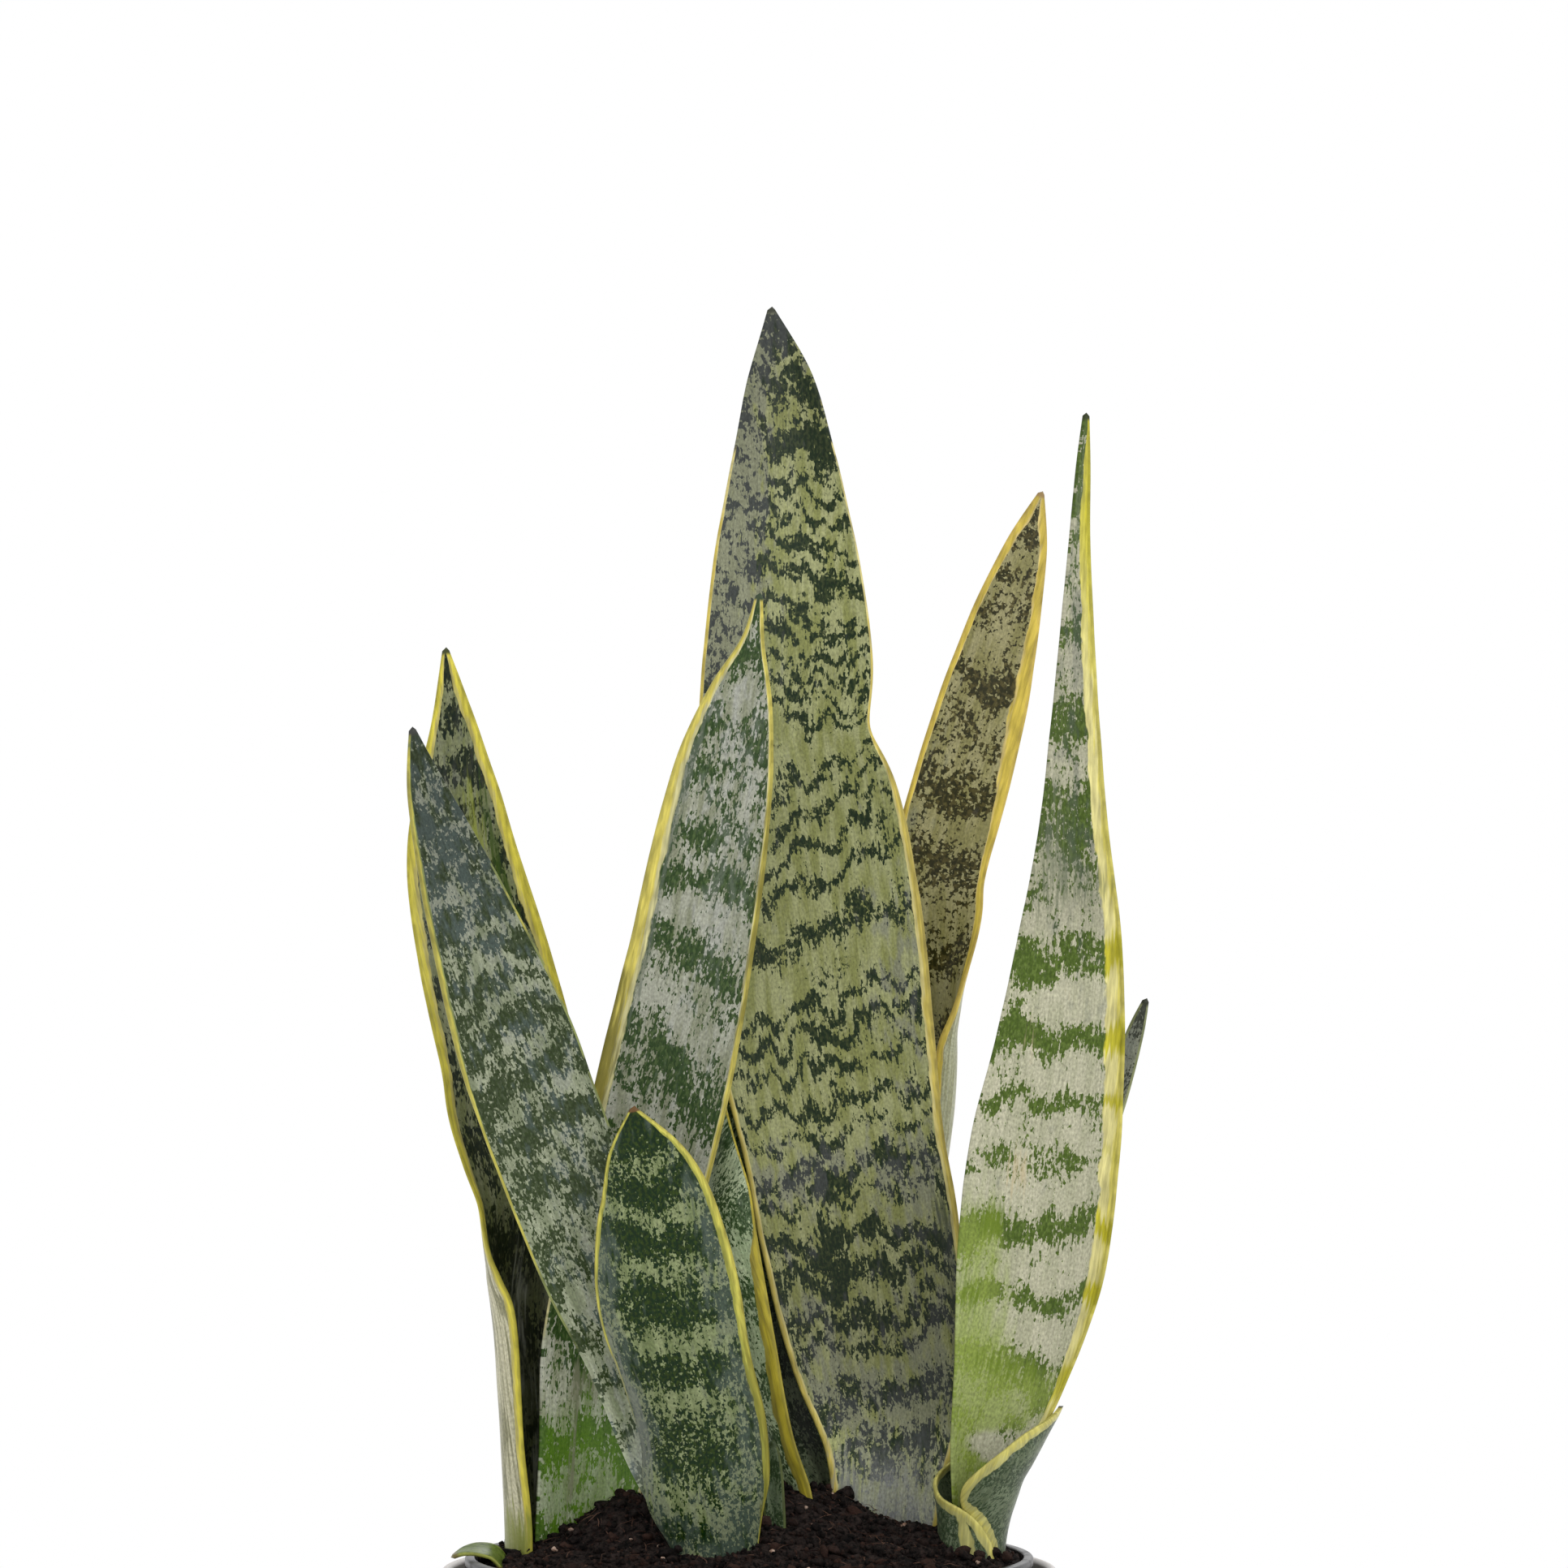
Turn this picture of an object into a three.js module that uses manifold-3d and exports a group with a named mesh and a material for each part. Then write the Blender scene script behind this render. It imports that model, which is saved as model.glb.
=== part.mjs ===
// A potted snake plant: stiff sword-shaped leaves with yellow margins, growing from dark soil in a
// black nursery pot that stands in a plain off-white cover pot.
// Lengths in millimetres, angles in degrees. +Z is up, the plant's front faces -Y, and the origin is
// the middle of the cover pot's flat underside.
import * as THREE from 'three';
import { mergeVertices } from 'three/addons/utils/BufferGeometryUtils.js';
import Module from 'manifold-3d';

const wasm = await Module();
wasm.setup();

// ---- Driving dimensions -------------------------------------------------------------------------
const AROUND = 48; // flat faces round each pot
const CLEAR = 0.35; // gap between pieces that rest on each other

const COVER = {
  height: 150,
  rimRadius: 85,
  footRadius: 63,
  wall: 2.8,
  floor: 3.5,
  footRound: 4,
  floorBevel: 2,
};
const NURSERY = {
  rimHeight: 153.5,
  rimRadius: 78.3,
  lipHeight: 3,
  lipSlope: 0.8,
  lipBevel: 0.6,
  lipInset: 0.4,
  wall: 1.3,
  floor: 1.6,
  footRadius: 54.7,
  shoulder: 128, // height where the wall steps out for its rim band
  shoulderRadius: 73.9,
  bandRise: 3,
  bandRadius: 76.9,
  drainHoles: 6,
  drainDiameter: 10,
  drainCircle: 36,
  drainCorners: 12,
};
const SOIL = {
  wallHeight: 149.5,
  mound: 19,
  moundX: 0,
  moundY: 12,
  moundWide: 55,
  moundDeep: 28,
  lump: 0.7,
  lumpSize: 2,
  lumpSkew: 0.35,
  topRings: 9,
};

// Local heaps on the soil: middle x, y, height, radius.
const HEAPS = [
  [-36, 7, 7, 13],
  [20, 19, 4, 12],
  [54, 6, 3, 12],
  [5, 11, 3, 9],
];

const BLADE = {
  edge: 0.9, // thickness at the margins
  tip: 1.3,
  thinning: 0.8, // how evenly the thickness falls from foot to tip
  hemStart: 0.55, // place from the middle (0) to the margin (1) where a hem begins to roll
  columns: 6,
  finePerColumn: 4,
  stationsPerRow: 2,
  tangentStep: 0.2, // of the distance between two stations
};

// ---- Leaves -------------------------------------------------------------------------------------
// Each row of a leaf is a station from its foot in the soil to its tip:
//   height, x and y of the middle between its two margins, width as seen along its reference side,
//   curl (how far the blade turns from one margin to the other; its hollow side faces the front),
//   turn (0 faces the front, positive brings the left margin forward).
// base is the thickness at the foot, and hem is how far the right margin rolls forward more.
const LEAVES = {
  leaf_tall_middle: {
    color: 0x84885a,
    base: 4.4,
    rows: [
      [139, 36, 21, 24, 110, -8],
      [156, 37.5, 20, 28, 105, -6],
      [175, 38.6, 19, 32.5, 92, -4],
      [191, 38.5, 18.5, 41.2, 80, -2],
      [211, 35.6, 18, 49.8, 66, 0],
      [238, 31.2, 17.5, 54.6, 58, 0],
      [267, 26, 17, 55.5, 54, 0],
      [297, 21, 17, 60, 52, 2],
      [328, 17.5, 17.5, 60.5, 50, 4],
      [358, 13.5, 19, 57, 48, 7],
      [380, 9.8, 21, 47.5, 48, 10],
      [402, 10.8, 23, 46.5, 46, 13],
      [430, 10.4, 26, 39.5, 46, 16],
      [458, 9.8, 29.5, 28, 46, 18],
      [480, 8.6, 32.5, 17.5, 42, 18],
      [499, 6, 35, 1.4, 20, 16],
    ],
  },
  leaf_left_middle: {
    color: 0x8a9478,
    base: 4.2,
    rows: [
      [138, -46, 8, 26, 100, 8],
      [160, -44.9, 8, 27.7, 95, 8],
      [184, -43.5, 7.5, 28.5, 80, 6],
      [209, -41.4, 6.5, 31.5, 66, 4],
      [236, -34.8, 5, 34.5, 56, 0],
      [262, -28.6, 3, 36, 50, -4],
      [290, -22.2, 1, 36, 46, -8],
      [318, -16.3, -1.5, 33.6, 44, -12],
      [345, -11.4, -4, 31.2, 42, -16],
      [370, -6.8, -6.5, 26.4, 40, -20],
      [390, -2.4, -8.5, 17.2, 36, -22],
      [405, 1, -10, 6, 30, -24],
      [417.5, 2.8, -11.5, 1.2, 15, -24],
    ],
  },
  leaf_front_small: {
    color: 0x47603a,
    base: 4,
    rows: [
      [136, -9, -11, 17, -90, 4],
      [157, -9.3, -13.5, 23, -80, 4],
      [172, -11.4, -15.5, 33, -72, 3],
      [189, -12.4, -17.5, 34, -66, 2],
      [206, -16.8, -20, 35, -60, 0],
      [224, -21.4, -22.5, 38.5, -54, -2],
      [240, -23.7, -25, 36, -50, -4],
      [254, -25.4, -27.5, 29.5, -44, -6],
      [267, -28.6, -30, 19, -38, -8],
      [278, -31.3, -32.5, 1.2, -15, -10],
    ],
  },
  leaf_leaning_left: {
    color: 0x66755c,
    base: 4,
    rows: [
      [138, -11, 0, 12.5, 90, 0],
      [158, -14, -1.5, 14.5, 85, 0],
      [182, -23, -4.5, 21, 70, 2],
      [209, -31.5, -8.5, 25.5, 60, 4],
      [232, -41, -12.5, 29.5, 54, 6],
      [256, -49.5, -17, 31.8, 50, 8],
      [277, -57.2, -21, 32, 48, 10],
      [297, -64, -25, 31.2, 46, 12],
      [318, -71.3, -29, 26.2, 44, 15],
      [341, -79.3, -33.5, 19, 42, 18],
      [364, -86.9, -38.5, 10, 36, 20],
      [380.5, -90.7, -42, 1.2, 15, 20],
    ],
  },
  leaf_back_left: {
    color: 0x6f7750,
    base: 3.6,
    rows: [
      [138, -55.4, 8.2, 9.8, 176, 63.3],
      [161, -55.2, 8, 9.8, 180, 63.5],
      [184, -55.8, 8.2, 13.2, 178, 55.9],
      [200, -55.7, 8.5, 15.1, 186, 52.2],
      [214, -55.9, 8.8, 16.4, 190, 49.9],
      [224, -56.6, 9.5, 18.7, 190, 45.4],
      [232, -57.9, 10, 22.8, 172, 38.7],
      [240, -59.3, 10.5, 26.4, 138, 33],
      [252, -60.6, 11.3, 28.8, 105, 29],
      [264, -63, 12.5, 32.8, 84, 25],
      [277, -65.2, 13.5, 36, 74, 22],
      [290, -66.8, 14.5, 36.8, 66, 20],
      [316, -73.3, 17, 35.8, 56, 12],
      [342, -79.4, 20, 31.4, 46, 4],
      [362, -81.5, 22.5, 24, 40, -2],
      [382, -82.6, 25.5, 12.5, 36, -6],
      [403.3, -85, 29, 1.2, 15, -8],
    ],
  },
  leaf_centre_narrow: {
    color: 0x5f6f55,
    base: 2.8,
    rows: [
      [140, 23.7, 19.5, 10.5, 130, 65.5],
      [156, 23.7, 19, 10.5, 140, 65.5],
      [172, 21.8, 18.5, 10.4, 160, 65.6],
      [188, 16.2, 18, 9.6, 180, 66.4],
      [214, 10.3, 17.8, 7.5, 205, 69.9],
      [240, 5, 18, 6, 235, 73.3],
      [256, 2.2, 18, 5.6, 238, 72.7],
      [270, -3.4, 17.8, 3.6, 210, 69],
      [283, -8.5, 21, 0.4, 60, 60],
    ],
  },
  leaf_right_tall: {
    color: 0x8f9a6c,
    base: 2.3,
    hem: 34,
    rows: [
      [138, 62, 1.4, 10, 130, 0],
      [157, 62.4, 1.6, 10.8, 126, 0],
      [169, 63.4, 1.5, 14.5, 104, 0],
      [184, 66.4, 0.5, 21.7, 84, -4],
      [204, 71.8, -1, 30.5, 70, -8],
      [232, 77.2, -2.5, 39.5, 58, -12],
      [263, 81, -3.5, 40.6, 52, -12],
      [295, 85.7, -3.5, 34.5, 50, -10],
      [325, 88.4, -2.5, 27.3, 50, -6],
      [355, 89.4, -1, 18.1, 50, -2],
      [390, 90.1, 2, 11.5, 50, 4],
      [430, 91.2, 6, 5.6, 46, 8],
      [453, 92.4, 9, 3.4, 40, 10],
      [468, 93.3, 11, 1.2, 20, 10],
    ],
  },
  leaf_right_tan: {
    color: 0x7f7753,
    base: 3.8,
    rows: [
      [140, 41, 35, 16, 110, -20],
      [165, 41, 35.5, 16, 120, -25],
      [195, 41, 37, 15, 150, -36],
      [228, 41.5, 38, 13, 180, -48],
      [250, 42.5, 39.5, 12, 190, -52],
      [275, 45.5, 41, 12, 195, -52],
      [293, 46.2, 42.5, 14, 190, -48],
      [305, 49, 43.5, 17.5, 165, -32],
      [317, 51, 45, 22, 120, -14],
      [330, 52.6, 47, 25, 72, 0],
      [343, 53.4, 48.5, 26.1, 50, 9],
      [368, 60.2, 52, 26.3, 42, 16],
      [393, 67.2, 56, 23.7, 40, 18],
      [414, 72.9, 59.5, 18.5, 38, 20],
      [434, 78.8, 63, 10.9, 32, 22],
      [448.6, 82.8, 66, 1.2, 15, 22],
    ],
  },
  leaf_right_spike: {
    color: 0x6d7a68,
    base: 3,
    rows: [
      [140, 62.5, 27, 8, 130, 15],
      [165, 65.5, 27.5, 8.5, 125, 15],
      [200, 75, 29, 9, 110, 14],
      [240, 88.6, 31.5, 8.5, 95, 12],
      [275, 101.3, 34.5, 6.6, 80, 10],
      [295, 107.8, 36.5, 4.4, 60, 8],
      [305, 111.1, 37.5, 1.2, 20, 8],
    ],
  },
  leaf_low_centre: {
    color: 0x5d6f5c,
    base: 2,
    rows: [
      [146, 7.2, -5, 5, 70, -10],
      [160, 7.1, -5, 5.4, 66, -10],
      [174, 6.7, -5, 4.8, 56, -8],
      [182, 6.4, -5.2, 3.2, 44, -6],
      [185, 6.4, -5.4, 1.2, 20, -6],
    ],
  },
  leaf_low_rim: {
    color: 0x58682f,
    base: 1.8,
    across: [0, 1, 0],
    rows: [
      [144, -66, -8, 8, 40, -6],
      [150.5, -66.8, -8.5, 10, 36, -8],
      [154.8, -69.6, -9, 11, 26, -12],
      [156, -74, -9.5, 10, 18, -12],
      [155.6, -78, -10, 7, 14, -10],
      [154.2, -81, -10.5, 2, 8, -8],
    ],
  },
};

// The short outer leaf rolled round the right tall leaf's foot. Each row: height, x and y of the
// roll's axis, angle of the left margin and of the right margin (0 is the front, the blade runs from
// left over the back to the right), and the radius at the left and at the right margin.
const SHEATH = {
  color: 0x5c6f52,
  thickness: 1.2,
  columns: 16,
  holeRows: 5, // rows from the foot up that its hole in the soil follows
  holeCorners: 24,
  holeLead: 25, // angle past the left margin over which the hole stays as wide
  rows: [
    [138, 61.4, 3.4, 48, -368, 9.4, 7.7],
    [150, 61.6, 3.4, 42, -368, 9.6, 7.9],
    [157, 61.9, 3.4, 29, -372, 9.8, 8.1],
    [163, 62.4, 3.4, 4, -380, 10.4, 8.7],
    [167, 62.9, 3.3, -26, -388, 11.1, 9.4],
    [170, 63.1, 3.2, -64, -390, 11.7, 10.2],
    [174, 63.6, 3.1, -92, -382, 12.2, 11.3],
    [178, 65.4, 2.8, -124, -370, 12.2, 12.1],
    [183, 68.2, 2.4, -165, -354, 12, 12],
    [188, 71.4, 2, -215, -336, 11.4, 11.4],
    [192, 74.8, 1.8, -252, -306, 10.2, 10.2],
    [194.5, 76.8, 1.7, -272, -282, 9.3, 9.3],
  ],
};

// ---- Solids -------------------------------------------------------------------------------------
function namedMesh(name, geometry, color, roughness) {
  const mesh = new THREE.Mesh(geometry, new THREE.MeshStandardMaterial({ color, roughness }));
  mesh.name = name;
  return mesh;
}

function bodyFrom(positions, triangles) {
  const geometry = new THREE.BufferGeometry();
  geometry.setAttribute('position', new THREE.Float32BufferAttribute(positions, 3));
  geometry.setIndex(triangles);
  geometry.computeVertexNormals();
  return geometry;
}

// A geometry as a solid that can be cut: shared corners merged, triangles with no area dropped.
function toSolid(geometry) {
  const bare = geometry.clone();
  bare.deleteAttribute('normal');
  bare.deleteAttribute('uv');
  const merged = mergeVertices(bare, 1e-4);
  const corners = [];
  for (let i = 0; i < merged.index.count; i += 3) {
    const [a, b, c] = [0, 1, 2].map((k) => merged.index.getX(i + k));
    if (a !== b && b !== c && c !== a) corners.push(a, b, c);
  }
  const vertProperties = new Float32Array(merged.getAttribute('position').array);
  const mesh = new wasm.Mesh({ numProp: 3, vertProperties, triVerts: new Uint32Array(corners) });
  return new wasm.Manifold(mesh);
}

function fromSolid(solid) {
  const { vertProperties, triVerts } = solid.getMesh();
  return bodyFrom(vertProperties, Array.from(triVerts));
}

// ---- Pots ---------------------------------------------------------------------------------------
// A closed [radius, height] outline, counterclockwise from the axis, turned round +Z.
function turned(outline) {
  const points = outline.map(([radius, height]) => new THREE.Vector2(radius, height));
  return new THREE.LatheGeometry(points, AROUND).rotateX(Math.PI / 2);
}

// Points on an arc about [radius, height] of the outline plane, from one angle to another.
function arc([radius, height], size, from, to, steps) {
  return Array.from({ length: steps + 1 }, (_, i) => {
    const angle = THREE.MathUtils.degToRad(from + ((to - from) * i) / steps);
    return [radius + size * Math.cos(angle), height + size * Math.sin(angle)];
  });
}

function coverPot() {
  const { height, rimRadius, footRadius, wall, floor, footRound, floorBevel } = COVER;
  const lip = wall / 2;
  return turned([
    [0, 0],
    ...arc([footRadius - footRound, footRound], footRound, -90, 0, 3),
    ...arc([rimRadius - lip, height - lip], lip, 0, 180, 6),
    [footRadius - wall, floor + floorBevel],
    [footRadius - wall - floorBevel, floor],
    [0, floor],
  ]);
}

const nurseryFoot = COVER.floor + CLEAR;

function nurseryPot() {
  const n = NURSERY;
  const shell = toSolid(
    turned([
      [0, nurseryFoot],
      [n.footRadius, nurseryFoot],
      [n.shoulderRadius, n.shoulder],
      [n.bandRadius, n.shoulder + n.bandRise],
      [n.bandRadius, n.rimHeight - n.lipHeight],
      [n.rimRadius, n.rimHeight - n.lipHeight + n.lipSlope],
      [n.rimRadius, n.rimHeight - n.lipBevel],
      [n.rimRadius - n.lipBevel, n.rimHeight],
      [n.bandRadius - n.wall + n.lipInset, n.rimHeight],
      ...nurseryInside().reverse(),
      [0, nurseryFoot + n.floor],
    ]),
  );
  const radius = n.drainDiameter / 2;
  const hole = new THREE.CylinderGeometry(radius, radius, 4 * n.floor, n.drainCorners);
  hole.rotateX(Math.PI / 2).translate(n.drainCircle, 0, nurseryFoot);
  let pot = shell;
  for (let i = 0; i < n.drainHoles; i++) {
    pot = pot.subtract(toSolid(hole.clone().rotateZ((2 * Math.PI * i) / n.drainHoles)));
  }
  return fromSolid(pot);
}

// The nursery pot's inner wall, from its floor up to below its lip.
function nurseryInside() {
  const n = NURSERY;
  return [
    [n.footRadius - n.wall, nurseryFoot + n.floor],
    [n.shoulderRadius - n.wall, n.shoulder],
    [n.bandRadius - n.wall, n.shoulder + n.bandRise],
    [n.bandRadius - n.wall, n.rimHeight - n.lipInset],
  ];
}

// ---- Leaf blades --------------------------------------------------------------------------------
// The value of every column of a leaf's rows at a place from 0 (foot) to 1 (tip), on smooth curves.
function rowAt(rows, place) {
  const last = rows.length - 1;
  const start = Math.min(Math.floor(place * last), last - 1);
  const t = place * last - start;
  const row = (k) => rows[THREE.MathUtils.clamp(k, 0, last)];
  return rows[start].map((_, column) => {
    const [a, b, c, d] = [-1, 0, 1, 2].map((k) => row(start + k)[column]);
    const bend = 2 * a - 5 * b + 4 * c - d + t * (3 * b - a - 3 * c + d);
    return b + (t * (c - a + t * bend)) / 2;
  });
}

// Points across a blade whose margins lie 1 apart: place along that line, place in front of it, and
// the direction that the blade runs in there.
function crossSection(curl, hem) {
  const { columns, finePerColumn, hemStart } = BLADE;
  const fine = columns * finePerColumn;
  const rolled = (u) => Math.max(0, (u - hemStart) / (1 - hemStart));
  const heading = (u) => (curl / 2) * u + hem * rolled(u) ** 2;
  const path = [[0, 0]];
  for (let i = 0; i < fine; i++) {
    const way = THREE.MathUtils.degToRad(heading(((i + 0.5) / fine) * 2 - 1));
    const [x, y] = path[i];
    path.push([x + Math.cos(way), y + Math.sin(way)]);
  }
  const [endX, endY] = path[fine];
  const chord = Math.hypot(endX, endY);
  const tilt = Math.atan2(endY, endX);
  return Array.from({ length: columns + 1 }, (_, column) => {
    const [x, y] = path[column * finePerColumn];
    const u = (column / columns) * 2 - 1;
    return {
      across: (x * Math.cos(tilt) + y * Math.sin(tilt)) / chord - 0.5,
      front: (y * Math.cos(tilt) - x * Math.sin(tilt)) / chord,
      way: THREE.MathUtils.degToRad(heading(u)) - tilt,
    };
  });
}

// A sheet given as rows of points, each with its thickness and the directions across, along and to
// the front, as a closed body. `grow` makes it larger by that much all round.
function sheetBody(grid, grow) {
  const columns = grid[0].length;
  const positions = [];
  grid.forEach((row, i) => {
    row.forEach(({ point, front, across, along, thickness }, j) => {
      const place = point.clone();
      if (j === 0) place.addScaledVector(across, -grow);
      if (j === columns - 1) place.addScaledVector(across, grow);
      if (i === 0) place.addScaledVector(along, -grow);
      const half = thickness / 2 + grow;
      positions.push(...place.clone().addScaledVector(front, half).toArray());
      positions.push(...place.clone().addScaledVector(front, -half).toArray());
    });
  });
  const front = (i, j) => 2 * (i * columns + j);
  const back = (i, j) => front(i, j) + 1;
  const triangles = [];
  const quad = (a, b, c, d) => triangles.push(a, b, c, a, c, d);
  const topRow = grid.length - 1;
  for (let j = 0; j < columns - 1; j++) {
    for (let i = 0; i < topRow; i++) {
      quad(front(i, j), front(i, j + 1), front(i + 1, j + 1), front(i + 1, j));
      triangles.push(back(i, j), back(i + 1, j + 1), back(i, j + 1));
      triangles.push(back(i, j), back(i + 1, j), back(i + 1, j + 1));
    }
    quad(front(0, j), back(0, j), back(0, j + 1), front(0, j + 1));
    quad(front(topRow, j), front(topRow, j + 1), back(topRow, j + 1), back(topRow, j));
  }
  for (let i = 0; i < topRow; i++) {
    quad(front(i, 0), front(i + 1, 0), back(i + 1, 0), back(i, 0));
    const j = columns - 1;
    quad(front(i, j), back(i, j), back(i + 1, j), front(i + 1, j));
  }
  return bodyFrom(positions, triangles);
}

// The frame of a leaf at a place from 0 (foot) to 1 (tip): the middle between its margins, the
// directions along it, across it and to its front, and the numbers of its section there.
function leafFrame({ rows, across: reference = [1, 0, 0] }, place, step) {
  const middle = (where) => {
    const [z, x, y] = rowAt(rows, where);
    return new THREE.Vector3(x, y, z);
  };
  const [, , , width, curl, turnDegrees] = rowAt(rows, place);
  const turn = THREE.MathUtils.degToRad(turnDegrees);
  const along = middle(Math.min(place + step, 1)).sub(middle(Math.max(place - step, 0)));
  along.normalize();
  const across = new THREE.Vector3(...reference).projectOnPlane(along).normalize();
  across.applyAxisAngle(along, turn);
  const front = new THREE.Vector3().crossVectors(across, along);
  return { middle: middle(place), along, across, front, span: width / Math.cos(turn), curl };
}

// A sword-shaped leaf, thick along its middle and thin at its margins.
function leafBody(leaf, grow = 0) {
  const stations = (leaf.rows.length - 1) * BLADE.stationsPerRow;
  const grid = Array.from({ length: stations + 1 }, (_, i) => {
    const place = i / stations;
    const frame = leafFrame(leaf, place, BLADE.tangentStep / stations);
    const { middle, along, across, front, span, curl } = frame;
    const thick = THREE.MathUtils.lerp(leaf.base, BLADE.tip, place ** BLADE.thinning);
    return crossSection(curl, leaf.hem ?? 0).map((spot, j) => {
      const u = (2 * j) / BLADE.columns - 1;
      const [cos, sin] = [Math.cos(spot.way), Math.sin(spot.way)];
      const point = middle.clone();
      point.addScaledVector(across, span * spot.across).addScaledVector(front, span * spot.front);
      return {
        point,
        across: across.clone().multiplyScalar(cos).addScaledVector(front, sin),
        front: front.clone().multiplyScalar(cos).addScaledVector(across, -sin),
        along,
        thickness: BLADE.edge + Math.max(thick - BLADE.edge, 0) * Math.sqrt(1 - u * u),
      };
    });
  });
  return sheetBody(grid, grow);
}

// The rolled outer leaf, whose layers lie over each other in front near the soil.
function sheathBody() {
  const stations = (SHEATH.rows.length - 1) * BLADE.stationsPerRow;
  const along = new THREE.Vector3(0, 0, 1);
  const grid = Array.from({ length: stations + 1 }, (_, i) => {
    const [z, x, y, left, right, leftRadius, rightRadius] = rowAt(SHEATH.rows, i / stations);
    return Array.from({ length: SHEATH.columns + 1 }, (_, j) => {
      const part = j / SHEATH.columns;
      const angle = THREE.MathUtils.degToRad(THREE.MathUtils.lerp(left, right, part));
      const radius = THREE.MathUtils.lerp(leftRadius, rightRadius, part);
      const front = new THREE.Vector3(-Math.sin(angle), Math.cos(angle), 0);
      return {
        point: new THREE.Vector3(x, y, z).addScaledVector(front, -radius),
        front,
        across: new THREE.Vector3(-Math.cos(angle), -Math.sin(angle), 0),
        along,
        thickness: SHEATH.thickness,
      };
    });
  });
  return sheetBody(grid, 0);
}

// The plain hole that the rolled leaf stands in: its outer layer's outline and CLEAR round it.
function sheathHole() {
  const { rows, thickness, holeRows, holeCorners, holeLead } = SHEATH;
  const rings = rows.slice(0, holeRows).map(([z, x, y, left, right, leftRadius, rightRadius], i) => {
    return Array.from({ length: holeCorners }, (_, k) => {
      const angle = (360 * k) / holeCorners;
      const turn = THREE.MathUtils.euclideanModulo(left + holeLead - angle, 360) - holeLead;
      const part = Math.max(turn, 0) / (left - right);
      const radius = THREE.MathUtils.lerp(leftRadius, rightRadius, part) + thickness / 2 + CLEAR;
      const [sin, cos] = [Math.sin, Math.cos].map((f) => f(THREE.MathUtils.degToRad(angle)));
      return [x + radius * sin, y - radius * cos, i === 0 ? z - CLEAR : z];
    });
  });
  return ringBody(rings.reverse());
}

// ---- Soil ---------------------------------------------------------------------------------------
function soilHeight(x, y) {
  const s = SOIL;
  const away = ((x - s.moundX) / s.moundWide) ** 2 + ((y - s.moundY) / s.moundDeep) ** 2;
  const heaps = HEAPS.map(([hx, hy, height, radius]) => {
    return height * Math.exp(-((x - hx) ** 2 + (y - hy) ** 2) / radius ** 2);
  });
  const waveX = Math.sin((x + s.lumpSkew * y) / s.lumpSize);
  const waveY = Math.sin((y - s.lumpSkew * x) / s.lumpSize);
  const mound = s.mound * Math.exp(-away) + heaps.reduce((a, b) => a + b);
  return s.wallHeight + mound + s.lump * waveX * waveY;
}

// A body from rings of points, listed from its top to its bottom, closed by the middle of each end.
function ringBody(rings) {
  const around = rings[0].length;
  const last = rings.length - 1;
  const middle = (points) => [0, 1, 2].map((axis) => {
    return points.reduce((sum, point) => sum + point[axis], 0) / points.length;
  });
  const positions = [middle(rings[0]), middle(rings[last]), ...rings.flat()].flat();
  const at = (i, k) => 2 + i * around + (k % around);
  const triangles = [];
  for (let k = 0; k < around; k++) {
    triangles.push(0, at(0, k), at(0, k + 1));
    for (let i = 0; i < last; i++) {
      triangles.push(at(i, k), at(i + 1, k), at(i + 1, k + 1));
      triangles.push(at(i, k), at(i + 1, k + 1), at(i, k + 1));
    }
    triangles.push(1, at(last, k + 1), at(last, k));
  }
  return bodyFrom(positions, triangles);
}

function ring(radius, heightAt) {
  return Array.from({ length: AROUND }, (_, k) => {
    const angle = (2 * Math.PI * k) / AROUND;
    const [x, y] = [radius * Math.sin(angle), -radius * Math.cos(angle)];
    return [x, y, heightAt(x, y)];
  });
}

// The soil before the leaves' holes are cut: a lumpy top, and sides that follow the nursery pot.
function soilBlock() {
  const wall = nurseryInside().slice(0, 3).reverse();
  const topRadius = wall[0][0] - CLEAR;
  const rings = [];
  for (let i = 1; i <= SOIL.topRings; i++) {
    rings.push(ring((topRadius * i) / SOIL.topRings, soilHeight));
  }
  wall.forEach(([radius, height], i) => {
    const isFloor = i === wall.length - 1;
    rings.push(ring(radius - CLEAR, () => (isFloor ? height + CLEAR : height)));
  });
  return ringBody(rings);
}

function soilBody() {
  let soil = toSolid(soilBlock());
  for (const leaf of Object.values(LEAVES)) soil = soil.subtract(toSolid(leafBody(leaf, CLEAR)));
  soil = soil.subtract(toSolid(sheathHole()));
  return fromSolid(soil);
}

// ---- The plant ----------------------------------------------------------------------------------
const pots = new THREE.Group();
pots.add(namedMesh('cover_pot', coverPot(), 0xd8d2cf, 0.45));
pots.add(namedMesh('nursery_pot', nurseryPot(), 0x16161a, 0.4));
pots.add(namedMesh('soil', soilBody(), 0x261e1a, 0.95));

const leaves = new THREE.Group();
for (const [name, leaf] of Object.entries(LEAVES)) {
  leaves.add(namedMesh(name, leafBody(leaf), leaf.color, 0.4));
}
leaves.add(namedMesh('leaf_right_sheath', sheathBody(), SHEATH.color, 0.45));

const plant = new THREE.Group();
plant.add(pots, leaves);
export default plant;
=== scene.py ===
"""The potted snake plant's looks: fine leaf blades, soil and pots over the part's solids."""

import random
from math import atan2, cos, exp, hypot, pi, radians, sin, sqrt

import bmesh
import bpy
from mathutils import Matrix, Vector, noise


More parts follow.
